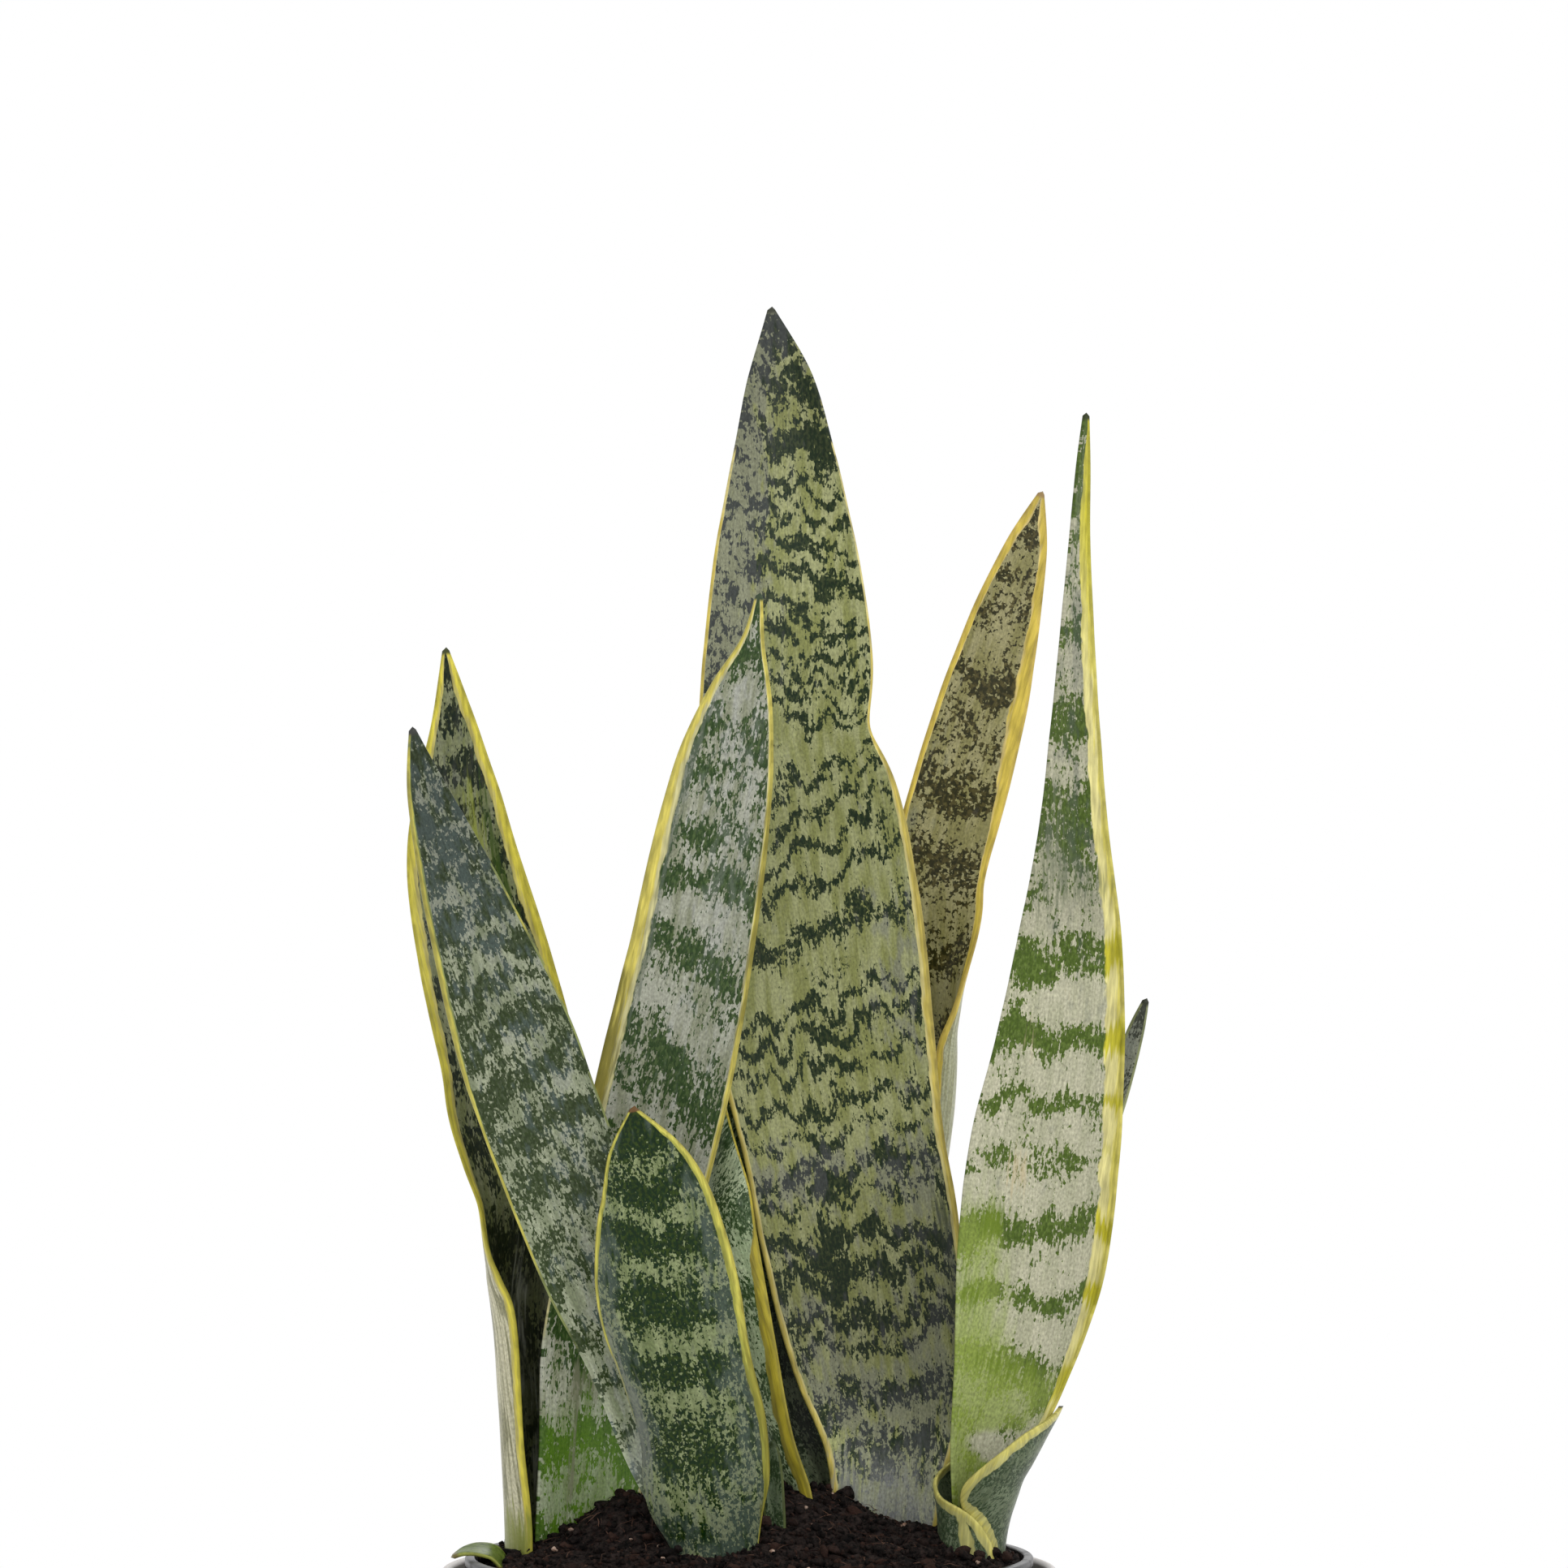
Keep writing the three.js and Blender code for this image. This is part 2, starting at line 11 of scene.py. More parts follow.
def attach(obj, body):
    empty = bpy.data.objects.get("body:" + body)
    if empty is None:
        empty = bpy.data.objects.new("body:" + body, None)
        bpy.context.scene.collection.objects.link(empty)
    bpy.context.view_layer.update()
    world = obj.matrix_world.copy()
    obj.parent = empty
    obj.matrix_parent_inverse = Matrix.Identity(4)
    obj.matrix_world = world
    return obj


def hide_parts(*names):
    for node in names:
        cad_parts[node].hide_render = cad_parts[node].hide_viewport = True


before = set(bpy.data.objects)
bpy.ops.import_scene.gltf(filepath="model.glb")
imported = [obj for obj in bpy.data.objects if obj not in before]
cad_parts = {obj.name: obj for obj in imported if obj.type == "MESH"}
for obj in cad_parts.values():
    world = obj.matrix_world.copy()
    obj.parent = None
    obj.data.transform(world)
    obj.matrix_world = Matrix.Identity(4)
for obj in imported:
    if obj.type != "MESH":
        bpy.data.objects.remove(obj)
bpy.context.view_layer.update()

MM = 0.001
SEED = 7
UP = Vector((0, 0, 1))

# ---- Camera ----
CAMERA_PLACE = (0.0096, -2.0, 0.366)
VIEW_WIDTH = 0.4322  # what the frame shows at the pot's axis
SENSOR = 36.0  # mm
NEAREST, FARTHEST = 0.05, 50


def add_object(name, data, place=(0, 0, 0)):
    item = bpy.data.objects.new(name, data)
    item.location = place
    bpy.context.scene.collection.objects.link(item)
    return item


def make_camera():
    data = bpy.data.cameras.new("camera")
    data.sensor_width = SENSOR
    data.lens = SENSOR * -CAMERA_PLACE[1] / VIEW_WIDTH
    data.clip_start, data.clip_end = NEAREST, FARTHEST
    camera = add_object("camera", data, CAMERA_PLACE)
    camera.rotation_euler = (pi / 2, 0, 0)
    bpy.context.scene.camera = camera


# ---- Small helpers ----
def lerp(a, b, part):
    return a + (b - a) * part


def table(text):
    """Rows of numbers, written with a comma after each row."""
    return [tuple(float(number) for number in row.split()) for row in text.split(",") if row.strip()]


def table_at(rows, place):
    """The other numbers of a table's rows at a place, in straight lines between rows that go upwards."""
    if place <= rows[0][0]:
        return rows[0][1:]
    for low, high in zip(rows, rows[1:]):
        if place <= high[0]:
            part = (place - low[0]) / (high[0] - low[0])
            return [lerp(a, b, part) for a, b in zip(low[1:], high[1:])]
    return rows[-1][1:]


def circle(radius, count):
    """x and y of points round the z axis, from the front on."""
    angles = [2 * pi * k / count for k in range(count)]
    return [(radius * sin(angle), -radius * cos(angle)) for angle in angles]


def mesh_from(name, points, faces, **layers):
    """A mesh from points in mm. Each layer has a vector for every point."""
    mesh = bpy.data.meshes.new(name)
    mesh.from_pydata([point * MM for point in points], [], faces)
    mesh.validate()
    for key, vectors in layers.items():
        layer = mesh.attributes.new(key, "FLOAT_VECTOR", "POINT")
        layer.data.foreach_set("vector", [number for vector in vectors for number in vector])
    return mesh


def joined(rings):
    """The faces between closed rings of point numbers."""
    faces = []
    for low, high in zip(rings, rings[1:]):
        for k in range(len(low)):
            after = (k + 1) % len(low)
            faces.append((low[k], low[after], high[after], high[k]))
    return faces


def turned(rings, around):
    """The faces round the z axis, with rings of points between a first and a last point on it."""
    rings = [range(1 + i * around, 1 + (i + 1) * around) for i in range(rings)]
    pairs = [(k, (k + 1) % around) for k in range(around)]
    first = [(0, rings[0][after], rings[0][k]) for k, after in pairs]
    end = rings[-1][-1] + 1
    return first + joined(rings) + [(end, rings[-1][k], rings[-1][after]) for k, after in pairs]


def new_piece(name, mesh, material, slot_name, *nodes):
    """An object that stands for the named solids."""
    piece = add_object(name, mesh)
    mesh.materials.append(material)
    mesh.polygons.foreach_set("use_smooth", [True] * len(mesh.polygons))
    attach(piece, "root")
    if nodes:
        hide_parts(*nodes)
    return piece


# ---- Materials ----
LIT = 1.22  # how much brighter than its own colour a surface shows in this light
GLOSS = 0.012  # light that a surface's gloss adds to its colour
LEAST = 0.0015  # share of light of the darkest colour


def tone(red, green, blue, lit=LIT):
    """A colour's share of light, from how it shows (0 to 255, on the sRGB curve)."""

    def linear(value):
        value /= 255
        return value / 12.92 if value <= 0.04045 else ((value + 0.055) / 1.055) ** 2.4

    return (*(max(LEAST, linear(value) - GLOSS) / lit for value in (red, green, blue)), 1.0)


class Graph:
    """Short calls that add nodes to a material. Each gives the socket that holds its result."""

    def __init__(self, name):
        self.material = bpy.data.materials.new(name)
        self.material.use_nodes = True
        self.tree = self.material.node_tree
        self.shader = self.tree.nodes["Principled BSDF"]

    def put(self, socket, value):
        if isinstance(value, bpy.types.NodeSocket):
            self.tree.links.new(value, socket)
        else:
            socket.default_value = value

    def node(self, kind, inputs=(), **settings):
        """A node with its settings, then with its inputs by name or number."""
        node = self.tree.nodes.new(kind)
        for key, value in settings.items():
            setattr(node, key, value)
        for key, value in dict(inputs).items():
            self.put(node.inputs[key], value)
        return node

    def math(self, operation, *values, clamp=False):
        node = self.node("ShaderNodeMath", enumerate(values), operation=operation, use_clamp=clamp)
        return node.outputs[0]

    def plus(self, total, *others):
        for other in others:
            total = self.math("ADD", total, other)
        return total

    def times(self, total, *others):
        for other in others:
            total = self.math("MULTIPLY", total, other)
        return total

    def scaled(self, value, factor, start):
        return self.math("MULTIPLY_ADD", value, factor, start)

    def step(self, value, low, high):
        """0 below low, 1 above high, smooth between them."""
        inputs = {"Value": value, "From Min": low, "From Max": high}
        return self.node("ShaderNodeMapRange", inputs, interpolation_type="SMOOTHSTEP").outputs[0]

    def mix(self, part, a, b, blend="MIX"):
        inputs = {0: part, 6: a, 7: b}
        return self.node("ShaderNodeMix", inputs, data_type="RGBA", blend_type=blend).outputs[2]

    def over(self, color, part, strength, other):
        """The colour, with another one over it in some parts."""
        return self.mix(self.times(part, strength), color, other)

    def vector(self, x, y, z):
        return self.node("ShaderNodeCombineXYZ", enumerate((x, y, z))).outputs[0]

    def lit_by(self, color, light):
        return self.mix(1.0, color, self.vector(light, light, light), "MULTIPLY")

    def attribute(self, name):
        vector = self.node("ShaderNodeAttribute", attribute_name=name).outputs["Vector"]
        return self.node("ShaderNodeSeparateXYZ", {0: vector}).outputs

    def place(self):
        return self.node("ShaderNodeTexCoord").outputs["Object"]

    def noise(self, place, scale=1.0, detail=2.0, roughness=0.5):
        inputs = {"Vector": place, "Scale": scale, "Detail": detail, "Roughness": roughness}
        return self.node("ShaderNodeTexNoise", inputs).outputs["Fac"]

    def curve(self, value, points):
        """value from 0 to 1, through straight lines between the points."""
        node = self.node("ShaderNodeFloatCurve", {"Value": value})
        curve = node.mapping.curves[0]
        for point, place in zip(curve.points, (points[0], points[-1])):
            point.location = place
        for x, y in points[1:-1]:
            curve.points.new(x, y)
        for point in curve.points:
            point.handle_type = "VECTOR"
        node.mapping.update()
        return node.outputs[0]

    def bump(self, height, distance, strength=1.0):
        inputs = {"Height": height, "Distance": distance, "Strength": strength}
        self.put(self.shader.inputs["Normal"], self.node("ShaderNodeBump", inputs).outputs[0])

    def finish(self, color, roughness, **constants):
        self.put(self.shader.inputs["Base Color"], color)
        self.put(self.shader.inputs["Roughness"], roughness)
        for key, value in constants.items():
            self.shader.inputs[key.replace("_", " ")].default_value = value
        return self.material


# ---- Leaves: their numbers ----
# What a leaf may have, in mm, with u from -1 at the left margin to 1 at the right one. A patch: height,
# u, half height, half width in u, strength.
#   rows: from the foot in the soil to the tip, height, x and y of the middle between the margins, width
#     as seen along the reference side, curl (its hollow side faces the front) and turn in degrees
#     (positive brings the left margin forward). The sheath, which is rolled: height, x and y of the
#     roll's axis, angle of the left and of the right margin (0 is the front), radius at each
#   base: thickness of the middle at the foot; hem: by how many degrees the right margin rolls in
#   across: the reference side
#   colors: as in COLORS
#   margins: height, width of the left and of the right one; inner_from: part of the width where the
#     inner strip begins; margin_band: colour where bands cross the right one
#   bands: height, half thickness, strength; wave: reach and width of their zigzag; jag: how far single
#     strokes reach past them; slope: height, rise to the right and towards both margins, per mm;
#      blur: how far the waxy bloom and painted sheen even them out; broken: height above which blotches
#          break them up, how far
#   speckle: width, length, amount and patchiness of the flecks
#    bloom, tint, marks: patches of grey waxy bloom with painted sheen, of the tint with painted shade, and
#        of more (below 0: less) darkness
#    back_zone: patches with the colours of a pale back; tint_on_pale: strength of the tint and painted shade
#        there
#   wash, up to three: colour and strength, then patches
#    shade: height, factor of lightness, which is painted light and shade (above 1 it lifts feet that lie in
#        shade near the soil, below 1 it darkens stretches as if shaded); tip: length of the tip in its own
#        colour
COLORS = (
    "pale pale_other dark dark_other bloom_pale bloom_dark tint margin margin_inner tip back back_other"
).split()
TABLES = "rows colors margins bands slope shade bloom tint marks back_zone".split()
# What holds for a leaf that doesn't say otherwise
PLAIN = """
across 1 0 0
hem 0
inner_from 0.45
jag 2.4
slope 0 0 0
blur 0
bloom
tint
marks
back_zone
tint_on_pale 0.8
shade 0 1
tip 1.8
"""
WASHES = 3


def read_numbers(text):
    """Keys and their numbers, one key to a line. A line that starts with a space goes on with the last."""
    found = {"washes": []}
    for line in text.strip().replace("\n ", " ").split("\n"):
        key, _, numbers = line.partition(" ")
        rows = table(numbers)
        if key == "wash":
            found["washes"].append((rows[0][:3], rows[0][3], rows[1:]))
        elif key in TABLES:
            found[key] = rows
        else:
            found[key] = rows[0] if len(rows[0]) > 1 else rows[0][0]
    return found


def leaf_of(slot, text):
    leaf = {"slot": slot, **read_numbers(PLAIN), **read_numbers(text)}
    leaf["colors"] = dict(zip(COLORS, leaf["colors"]))
    leaf["washes"] += [((0, 0, 0), 0, [])] * (WASHES - len(leaf["washes"]))
    return leaf


LEAVES = {
    # Its pale grey-lilac foot (tint patch and second wash) is partly the paler foot and partly painted
    # sheen.
    "leaf_tall_middle": leaf_of("leaf_olive", """
base 4.4
rows 139 36 21 24 110 -8, 156 37.5 20 28 105 -6, 175 38.6 19 32.5 92 -4, 191 38.5 18.5 41.2 80 -2,
 211 35.6 18 49.8 66 0, 238 31.2 17.5 54.6 58 0, 267 26 17 55.5 54 0, 297 21 17 60 52 2,
 328 17.5 17.5 60.5 50 4, 358 13.5 19 57 48 7, 380 9.8 21 47.5 48 10, 402 10.8 23 46.5 46 13,
 430 10.4 26 39.5 46 16, 458 9.8 29.5 28 46 18, 480 8.6 32.5 17.5 42 18, 499 6 35 1.4 20 16
colors 158 161 116, 134 138 84, 34 47 27, 58 67 42, 130 132 118, 72 75 74, 122 124 124, 198 180 92,
 204 192 128, 70 72 62
wave 8 9
speckle 1.1 2 .62 .42
blur .4
broken 385 .5
margins 190 1.3 1.2, 260 1 1.7, 300 .8 2.1, 350 .5 1.7, 376 .45 .4, 430 .4 .22, 455 .2 .2, 480 .1 .15,
 495 .1 .1
bands 150 4 .7, 163 4 .75, 178 6 .85, 195 5 .95, 211 2.4 .8, 219 3 .95, 229 3.2 .95, 238 3.4 1,
 251 2 .8, 259 3.4 .95, 270 1.8 .65, 278 2 .85, 288 1.8 .8, 296 2 .95, 303.5 2 .8, 324 3.4 .8,
 338 2.2 .85, 347 2.2 .85, 357 2.2 .8, 366 2.4 .85, 384 2 .8, 391 2 .8, 398 2 .8, 405.5 2 .85,
 414 2.6 .8, 426 3 .9, 435 1.6 .85, 442.5 1.8 .95, 450.5 1.8 .9, 464 4.5 .8, 479 5 .95, 500 12 .9
slope 250 0 0, 290 .05 0, 320 .3 0, 370 .3 0, 395 -.05 0, 415 -.3 0, 455 -.45 0, 475 -.3 0
shade 150 2.9, 172 2.2, 190 1.3, 212 .85, 240 .95, 262 1.08, 440 1.06, 472 .86
bloom 455 -.8 45 .6 .95, 400 -.9 45 .6 .85, 497 0 14 1.5 .8, 259 -.5 9 .6 .8, 185 .1 30 1.4 .7,
 215 -.7 36 .35 .35, 222 .75 40 .5 .4, 310 .75 30 .35 .6, 255 .6 14 .5 .5
tint 160 .1 22 1.4 .9
marks 425 .5 34 .5 .15, 440 -.3 20 .12 .25, 480 .75 14 .3 .35, 484 .5 8 .5 .3, 462 .4 9 .5 .35,
 300 .04 18 .12 .4, 265 -.2 20 .12 .35, 235 -.33 24 .15 .35
wash 52 60 52 .7, 235 .86 34 .12 .7
wash 150 153 150 .8, 163 -.75 22 .35 .75, 158 .2 12 .5 .55
"""),
    # Its first wash's narrow upright pale streak at the foot is a painted glossy highlight; its third wash
    # is painted shade, a darker grey-green line in the groove inside the left margin.
    "leaf_left_middle": leaf_of("leaf_silver_green", """
base 4.2
rows 138 -46 8 26 100 8, 160 -44.9 8 27.7 95 8, 184 -43.5 7.5 28.5 80 6, 209 -41.4 6.5 31.5 66 4,
 236 -34.8 5 34.5 56 0, 262 -28.6 3 36 50 -4, 290 -22.2 1 36 46 -8, 318 -16.3 -1.5 33.6 44 -12,
 345 -11.4 -4 31.2 42 -16, 370 -6.8 -6.5 26.4 40 -20, 390 -2.4 -8.5 17.2 36 -22, 405 1 -10 6 30 -24,
 417.5 2.8 -11.5 1.2 15 -24
colors 172 174 158, 142 146 122, 54 74 42, 78 96 58, 172 174 166, 98 110 92, 84 116 40, 214 200 100,
 206 200 146, 66 80 60
wave 10 15
speckle 1.1 2.6 1.2 .75
jag 3.4
blur .2
tint_on_pale .55
margins 200 .1 .3, 225 .3 .8, 240 4.2 1, 345 4.2 1, 390 2 .8, 415 .6 .4
bands 160.5 5 1.2, 185 8 1.1, 213 7.5 1.1, 238 5 .8, 260 7 .95, 288 7.5 1, 318 7 .95, 341 4.5 1.05,
 356 5 .75, 369 4 .55, 380 4.5 .85, 403 8 1.15, 420 14 1.4
slope 240 -.1 -.1, 265 -.3 -.1, 325 -.42 -.1, 345 -.12 -.35, 380 0 -.5, 400 -.1 -.2
shade 150 1.6, 170 1.9, 185 1.8, 215 1.5, 245 1.1, 260 1
bloom 335 .4 22 .5 .5, 378 0 26 1.4 .5, 300 .1 40 .5 .3
tint 172 0 32 1.5 1
marks 372 -.1 12 .3 .2, 374 -.6 10 .3 .2, 300 -.1 5 .6 -.12, 330 .1 4 .6 -.15, 385 .1 16 .35 -.25,
 380 .85 12 .3 .6, 276 .6 6 .5 .5, 392 0 8 .5 -.4
wash 150 152 124 .8, 199 .1 6 1 .6, 178 -.35 26 .09 .75, 170 -.1 5 .4 .5
wash 116 110 50 .75, 285 -.96 30 .16 1, 330 1 60 .1 .8
wash 98 108 94 .7, 365 -.72 34 .1 .9, 312 -.72 24 .08 .7
"""),
    # Its second wash, the pale grey strip on the lower left flank, and its third wash, the grey-blue of both
    # flanks, are painted sheen.
    "leaf_front_small": leaf_of("leaf_dark_green", """
base 4
rows 136 -9 -11 17 -90 4, 157 -9.3 -13.5 23 -80 4, 172 -11.4 -15.5 33 -72 3, 189 -12.4 -17.5 34 -66 2,
 206 -16.8 -20 35 -60 0, 224 -21.4 -22.5 38.5 -54 -2, 240 -23.7 -25 36 -50 -4,
 254 -25.4 -27.5 29.5 -44 -6, 267 -28.6 -30 19 -38 -8, 278 -31.3 -32.5 1.2 -15 -10
colors 144 154 112, 118 130 88, 32 50 12, 54 70 32, 122 130 108, 78 91 80, 98 112 98, 202 196 92,
 162 162 76, 112 84 54
wave 3.5 9
speckle 1.1 1.7 .85 .45
blur .35
tip 1.1
margins 152 .1 .4, 166 .1 .8, 175 .1 2.3, 198 .2 2.6, 215 .6 2.6, 232 .8 2.6, 245 1.5 2.4, 270 .8 1.3,
 278 .4 .4
bands 159 7 1, 185 13 .92, 206.5 5 1.05, 225 7.5 1.1, 241 5.5 1.1, 256 6.5 1.05, 274 8.5 1.5
slope 205 -.2 .08, 240 -.1 .2, 252 -.05 .25, 262 0 .1
shade 150 1.08, 175 1.08, 200 1
bloom 215 -1 50 .4 1, 225 .85 50 .45 .8, 160 0 12 1.6 .7, 180 .6 20 .6 .4
wash 118 114 42 .65, 190 .98 34 .14 1
wash 128 133 124 .65, 196 -.95 34 .2 .85, 172 -.1 6 .3 .4
wash 84 96 90 .45, 240 -.8 16 .22 .7, 246 .7 14 .25 .55
"""),
    "leaf_leaning_left": leaf_of("leaf_grey_green", """
base 4
rows 138 -11 0 12.5 90 0, 158 -14 -1.5 14.5 85 0, 182 -23 -4.5 21 70 2, 209 -31.5 -8.5 25.5 60 4,
 232 -41 -12.5 29.5 54 6, 256 -49.5 -17 31.8 50 8, 277 -57.2 -21 32 48 10, 297 -64 -25 31.2 46 12,
 318 -71.3 -29 26.2 44 15, 341 -79.3 -33.5 19 42 18, 364 -86.9 -38.5 10 36 20, 380.5 -90.7 -42 1.2 15 20
colors 150 156 132, 124 132 106, 53 64 40, 70 80 58, 144 148 136, 80 92 88, 130 135 132, 184 176 86,
 126 134 84, 70 72 68
wave 7 11
speckle 1.1 2 .8 .7
jag 3.2
blur .3
margins 165 .1 .9, 190 .1 .7, 200 .1 .15, 240 .3 .2, 284 .45 .2, 294 .8 .25, 303 1.4 .3, 336 1.2 .3,
 344 1.15 .12, 378 .3 .1
bands 150 4 .5, 176 4 .5, 190 4 .55, 205 4 .7, 220 5 .9, 238 6 .75, 258 8 .9, 274 6 1, 288 6 1, 300 4 1,
 309 3 1, 319 4 1.1, 331 5 1.15, 345 8 1.15, 360 10 1.1, 384 15 1.5
slope 0 .1 -.12
shade 150 4.2, 175 3.3, 190 2.3, 205 1.8, 235 1.5, 270 1.2, 320 1.1, 345 .88, 375 .78
bloom 350 0 40 1.5 .8, 280 .3 30 .7 .45, 225 .2 28 1 .6, 170 0 28 1.2 .9
tint 172 0 34 1.4 .85
"""),
    # Its tint colour (54 56 46) over the lower middle is painted shade: the channel's interior in shadow.
    "leaf_back_left": leaf_of("leaf_grey_green", """
base 3.6
rows 138 -55.4 8.2 9.8 176 63.3, 161 -55.2 8 9.8 180 63.5, 184 -55.8 8.2 13.2 178 55.9,
 200 -55.7 8.5 15.1 186 52.2, 214 -55.9 8.8 16.4 190 49.9, 224 -56.6 9.5 18.7 190 45.4,
 232 -57.9 10 22.8 172 38.7, 240 -59.3 10.5 26.4 138 33, 252 -60.6 11.3 28.8 105 29,
 264 -63 12.5 32.8 84 25, 277 -65.2 13.5 36 74 22, 290 -66.8 14.5 36.8 66 20, 316 -73.3 17 35.8 56 12,
 342 -79.4 20 31.4 46 4, 362 -81.5 22.5 24 40 -2, 382 -82.6 25.5 12.5 36 -6, 403.3 -85 29 1.2 15 -8
colors 128 132 102, 110 116 78, 30 40 18, 52 58 38, 108 112 100, 56 60 54, 54 56 46, 210 198 78,
 188 178 104, 72 78 48, 206 202 172, 126 125 92
wave 7 12
speckle 1.2 3 1 .7
margins 150 1.4 .8, 240 1.8 1, 290 2.6 2, 330 3 3.4, 350 2.4 2.8, 375 2 2.7, 392 1.5 2.6, 401 .6 .8
bands 150 8 .85, 180 10 .9, 210 8 .9, 240 8 .9, 265 8 .9, 290 7 .95, 310 6 .9, 326 5 .8, 344 4 .8,
 358 3 .6, 369 4 1, 384 6 .8, 402 9 1.2
bloom 370 0 20 1 .4
tint 200 -.2 60 1.5 .9
back_zone 170 -.75 90 .75 1.2
wash 138 146 66 .8, 340 .3 34 .3 .8, 156 -.5 13 1.2 .9
wash 58 78 24 .85, 335 .62 46 .14 .85
wash 156 158 146 .75, 225 .1 40 .2 .55, 190 -.4 30 .12 .6, 180 .4 30 .12 .6
"""),
    # Its tint colour (26 25 20) over the right part is painted shade on the inner face in the groove beside
    # the tall middle leaf; its shade table lifts the rest as painted light.
    "leaf_centre_narrow": leaf_of("leaf_grey_green", """
base 2.8
rows 140 23.7 19.5 10.5 130 65.5, 156 23.7 19 10.5 140 65.5, 172 21.8 18.5 10.4 160 65.6,
 188 16.2 18 9.6 180 66.4, 214 10.3 17.8 7.5 205 69.9, 240 5 18 6 235 73.3, 256 2.2 18 5.6 238 72.7,
 270 -3.4 17.8 3.6 210 69, 283 -8.5 21 .4 60 60
colors 124 133 108, 104 114 90, 44 56 38, 66 78 58, 112 118 104, 70 78 66, 26 25 20, 172 158 60,
 146 136 62, 80 84 66
wave 5 10
speckle .9 1.6 1.1 .5
margins 150 3.4 .7, 200 3.4 .7, 236 2.6 .6, 243 .5 .4, 270 .3 .4
bands 160 8 .8, 185 8 .8, 205 6 .8, 225 7 .8, 250 9 .9, 275 8 .9
shade 150 3, 200 3.2, 240 3, 262 2
bloom 240 0 40 1 .3
tint 200 .6 80 .7 1
"""),
    "leaf_right_tall": leaf_of("leaf_cream_green", """
base 2.3
hem 34
rows 138 62 1.4 10 130 0, 157 62.4 1.6 10.8 126 0, 169 63.4 1.5 14.5 104 0, 184 66.4 .5 21.7 84 -4,
 204 71.8 -1 30.5 70 -8, 232 77.2 -2.5 39.5 58 -12, 263 81 -3.5 40.6 52 -12, 295 85.7 -3.5 34.5 50 -10,
 325 88.4 -2.5 27.3 50 -6, 355 89.4 -1 18.1 50 -2, 390 90.1 2 11.5 50 4, 430 91.2 6 5.6 46 8,
 453 92.4 9 3.4 40 10, 468 93.3 11 1.2 20 10
colors 196 194 168, 180 180 152, 78 98 40, 98 118 56, 150 152 136, 84 98 74, 146 164 78, 228 216 112,
 230 221 150, 58 66 40
wave 6 13
speckle 1 2.2 .76 .6
jag 3
blur .3
inner_from .15
margin_band 196 188 52
margins 165 .1 1.2, 190 .1 1.8, 210 .1 3.4, 235 .1 6, 290 .1 6.4, 330 .1 5.2, 350 .1 4.2, 375 .1 3.8,
 400 .1 3.5, 425 .1 2.9, 440 .1 2.6, 456 .1 1.4, 465 .1 .4
bands 165 6 .7, 184 7 .95, 203 6 .85, 224 3.6 .95, 243 4.2 .95, 262 3.6 .65, 278 2.6 .9, 296 4.8 .95,
 318 4.8 .95, 336 5 .6, 356 14 1.05, 385 6.4 1.1, 406 3.4 .9, 422 4.5 .75, 433 3 .8, 445 6 .95,
 456 6 1.1, 472 13 1.7
slope 0 .16 0
shade 315 1, 332 .8, 350 .86, 385 .82, 430 .85, 468 .8
bloom 410 0 34 1 .7, 350 0 24 1 .5, 310 .2 14 .5 .3
tint 200 -.8 36 .7 1, 240 -.75 16 .4 .5, 180 -.2 20 1.4 1, 183 .1 4.5 1.1 -1.5, 202 .5 8 .6 .5
marks 306 .1 6 .5 -.8, 345 -.6 8 .4 -.4, 308 -.8 12 .27 .85, 237 -.8 6 .4 .6, 226 .35 6 .35 -.3,
 183 0 5 1.2 -1.2
wash 104 113 88 .65, 350 -.6 26 .5 .65, 339 .3 10 .7 .65, 446 -.4 24 .9 .62
wash 206 190 152 .7, 258 -.35 9 .2 .7, 308 .1 6 .3 .35, 295 -.5 14 .12 .45
wash 104 128 34 .7, 244 -.62 7 .3 .8, 204 -.1 7 .9 .62, 223 -.85 8 .3 .6
"""),
    "leaf_right_tan": leaf_of("leaf_tan", """
base 3.8
rows 140 41 35 16 110 -20, 165 41 35.5 16 120 -25, 195 41 37 15 150 -36, 228 41.5 38 13 180 -48,
 250 42.5 39.5 12 190 -52, 275 45.5 41 12 195 -52, 293 46.2 42.5 14 190 -48, 305 49 43.5 17.5 165 -32,
 317 51 45 22 120 -14, 330 52.6 47 25 72 0, 343 53.4 48.5 26.1 50 9, 368 60.2 52 26.3 42 16,
 393 67.2 56 23.7 40 18, 414 72.9 59.5 18.5 38 20, 434 78.8 63 10.9 32 22, 448.6 82.8 66 1.2 15 22
colors 152 147 108, 132 128 84, 50 49 31, 82 76 46, 132 132 104, 66 64 56, 76 71 44, 200 178 80,
 206 186 122, 158 132 88, 178 180 152, 140 140 104
wave 5 8
speckle 1.7 1.9 1.1 .5
inner_from .7
margins 190 1 1.2, 345 1 1.5, 360 1 2.3, 374 1 4, 390 1.1 4.6, 400 1.2 4.1, 414 1.3 2.7, 430 1.7 2.2,
 440 2.3 2.3, 446 1.5 1.5, 448.5 .7 .7
bands 200 10 .8, 230 9 .8, 255 7 .8, 275 6 .7, 297 5 .7, 318 6 .85, 341 8 .85, 364 5.5 1, 380 6 .5,
 394 4.4 1, 414 4 .6, 425 3.2 .8, 440 5 .9
shade 340 1.3, 400 1.15, 440 1.08
bloom 360 -.7 20 .5 .4
tint 255 0 46 1.5 .9
back_zone 260 .75 70 .75 1.2
"""),
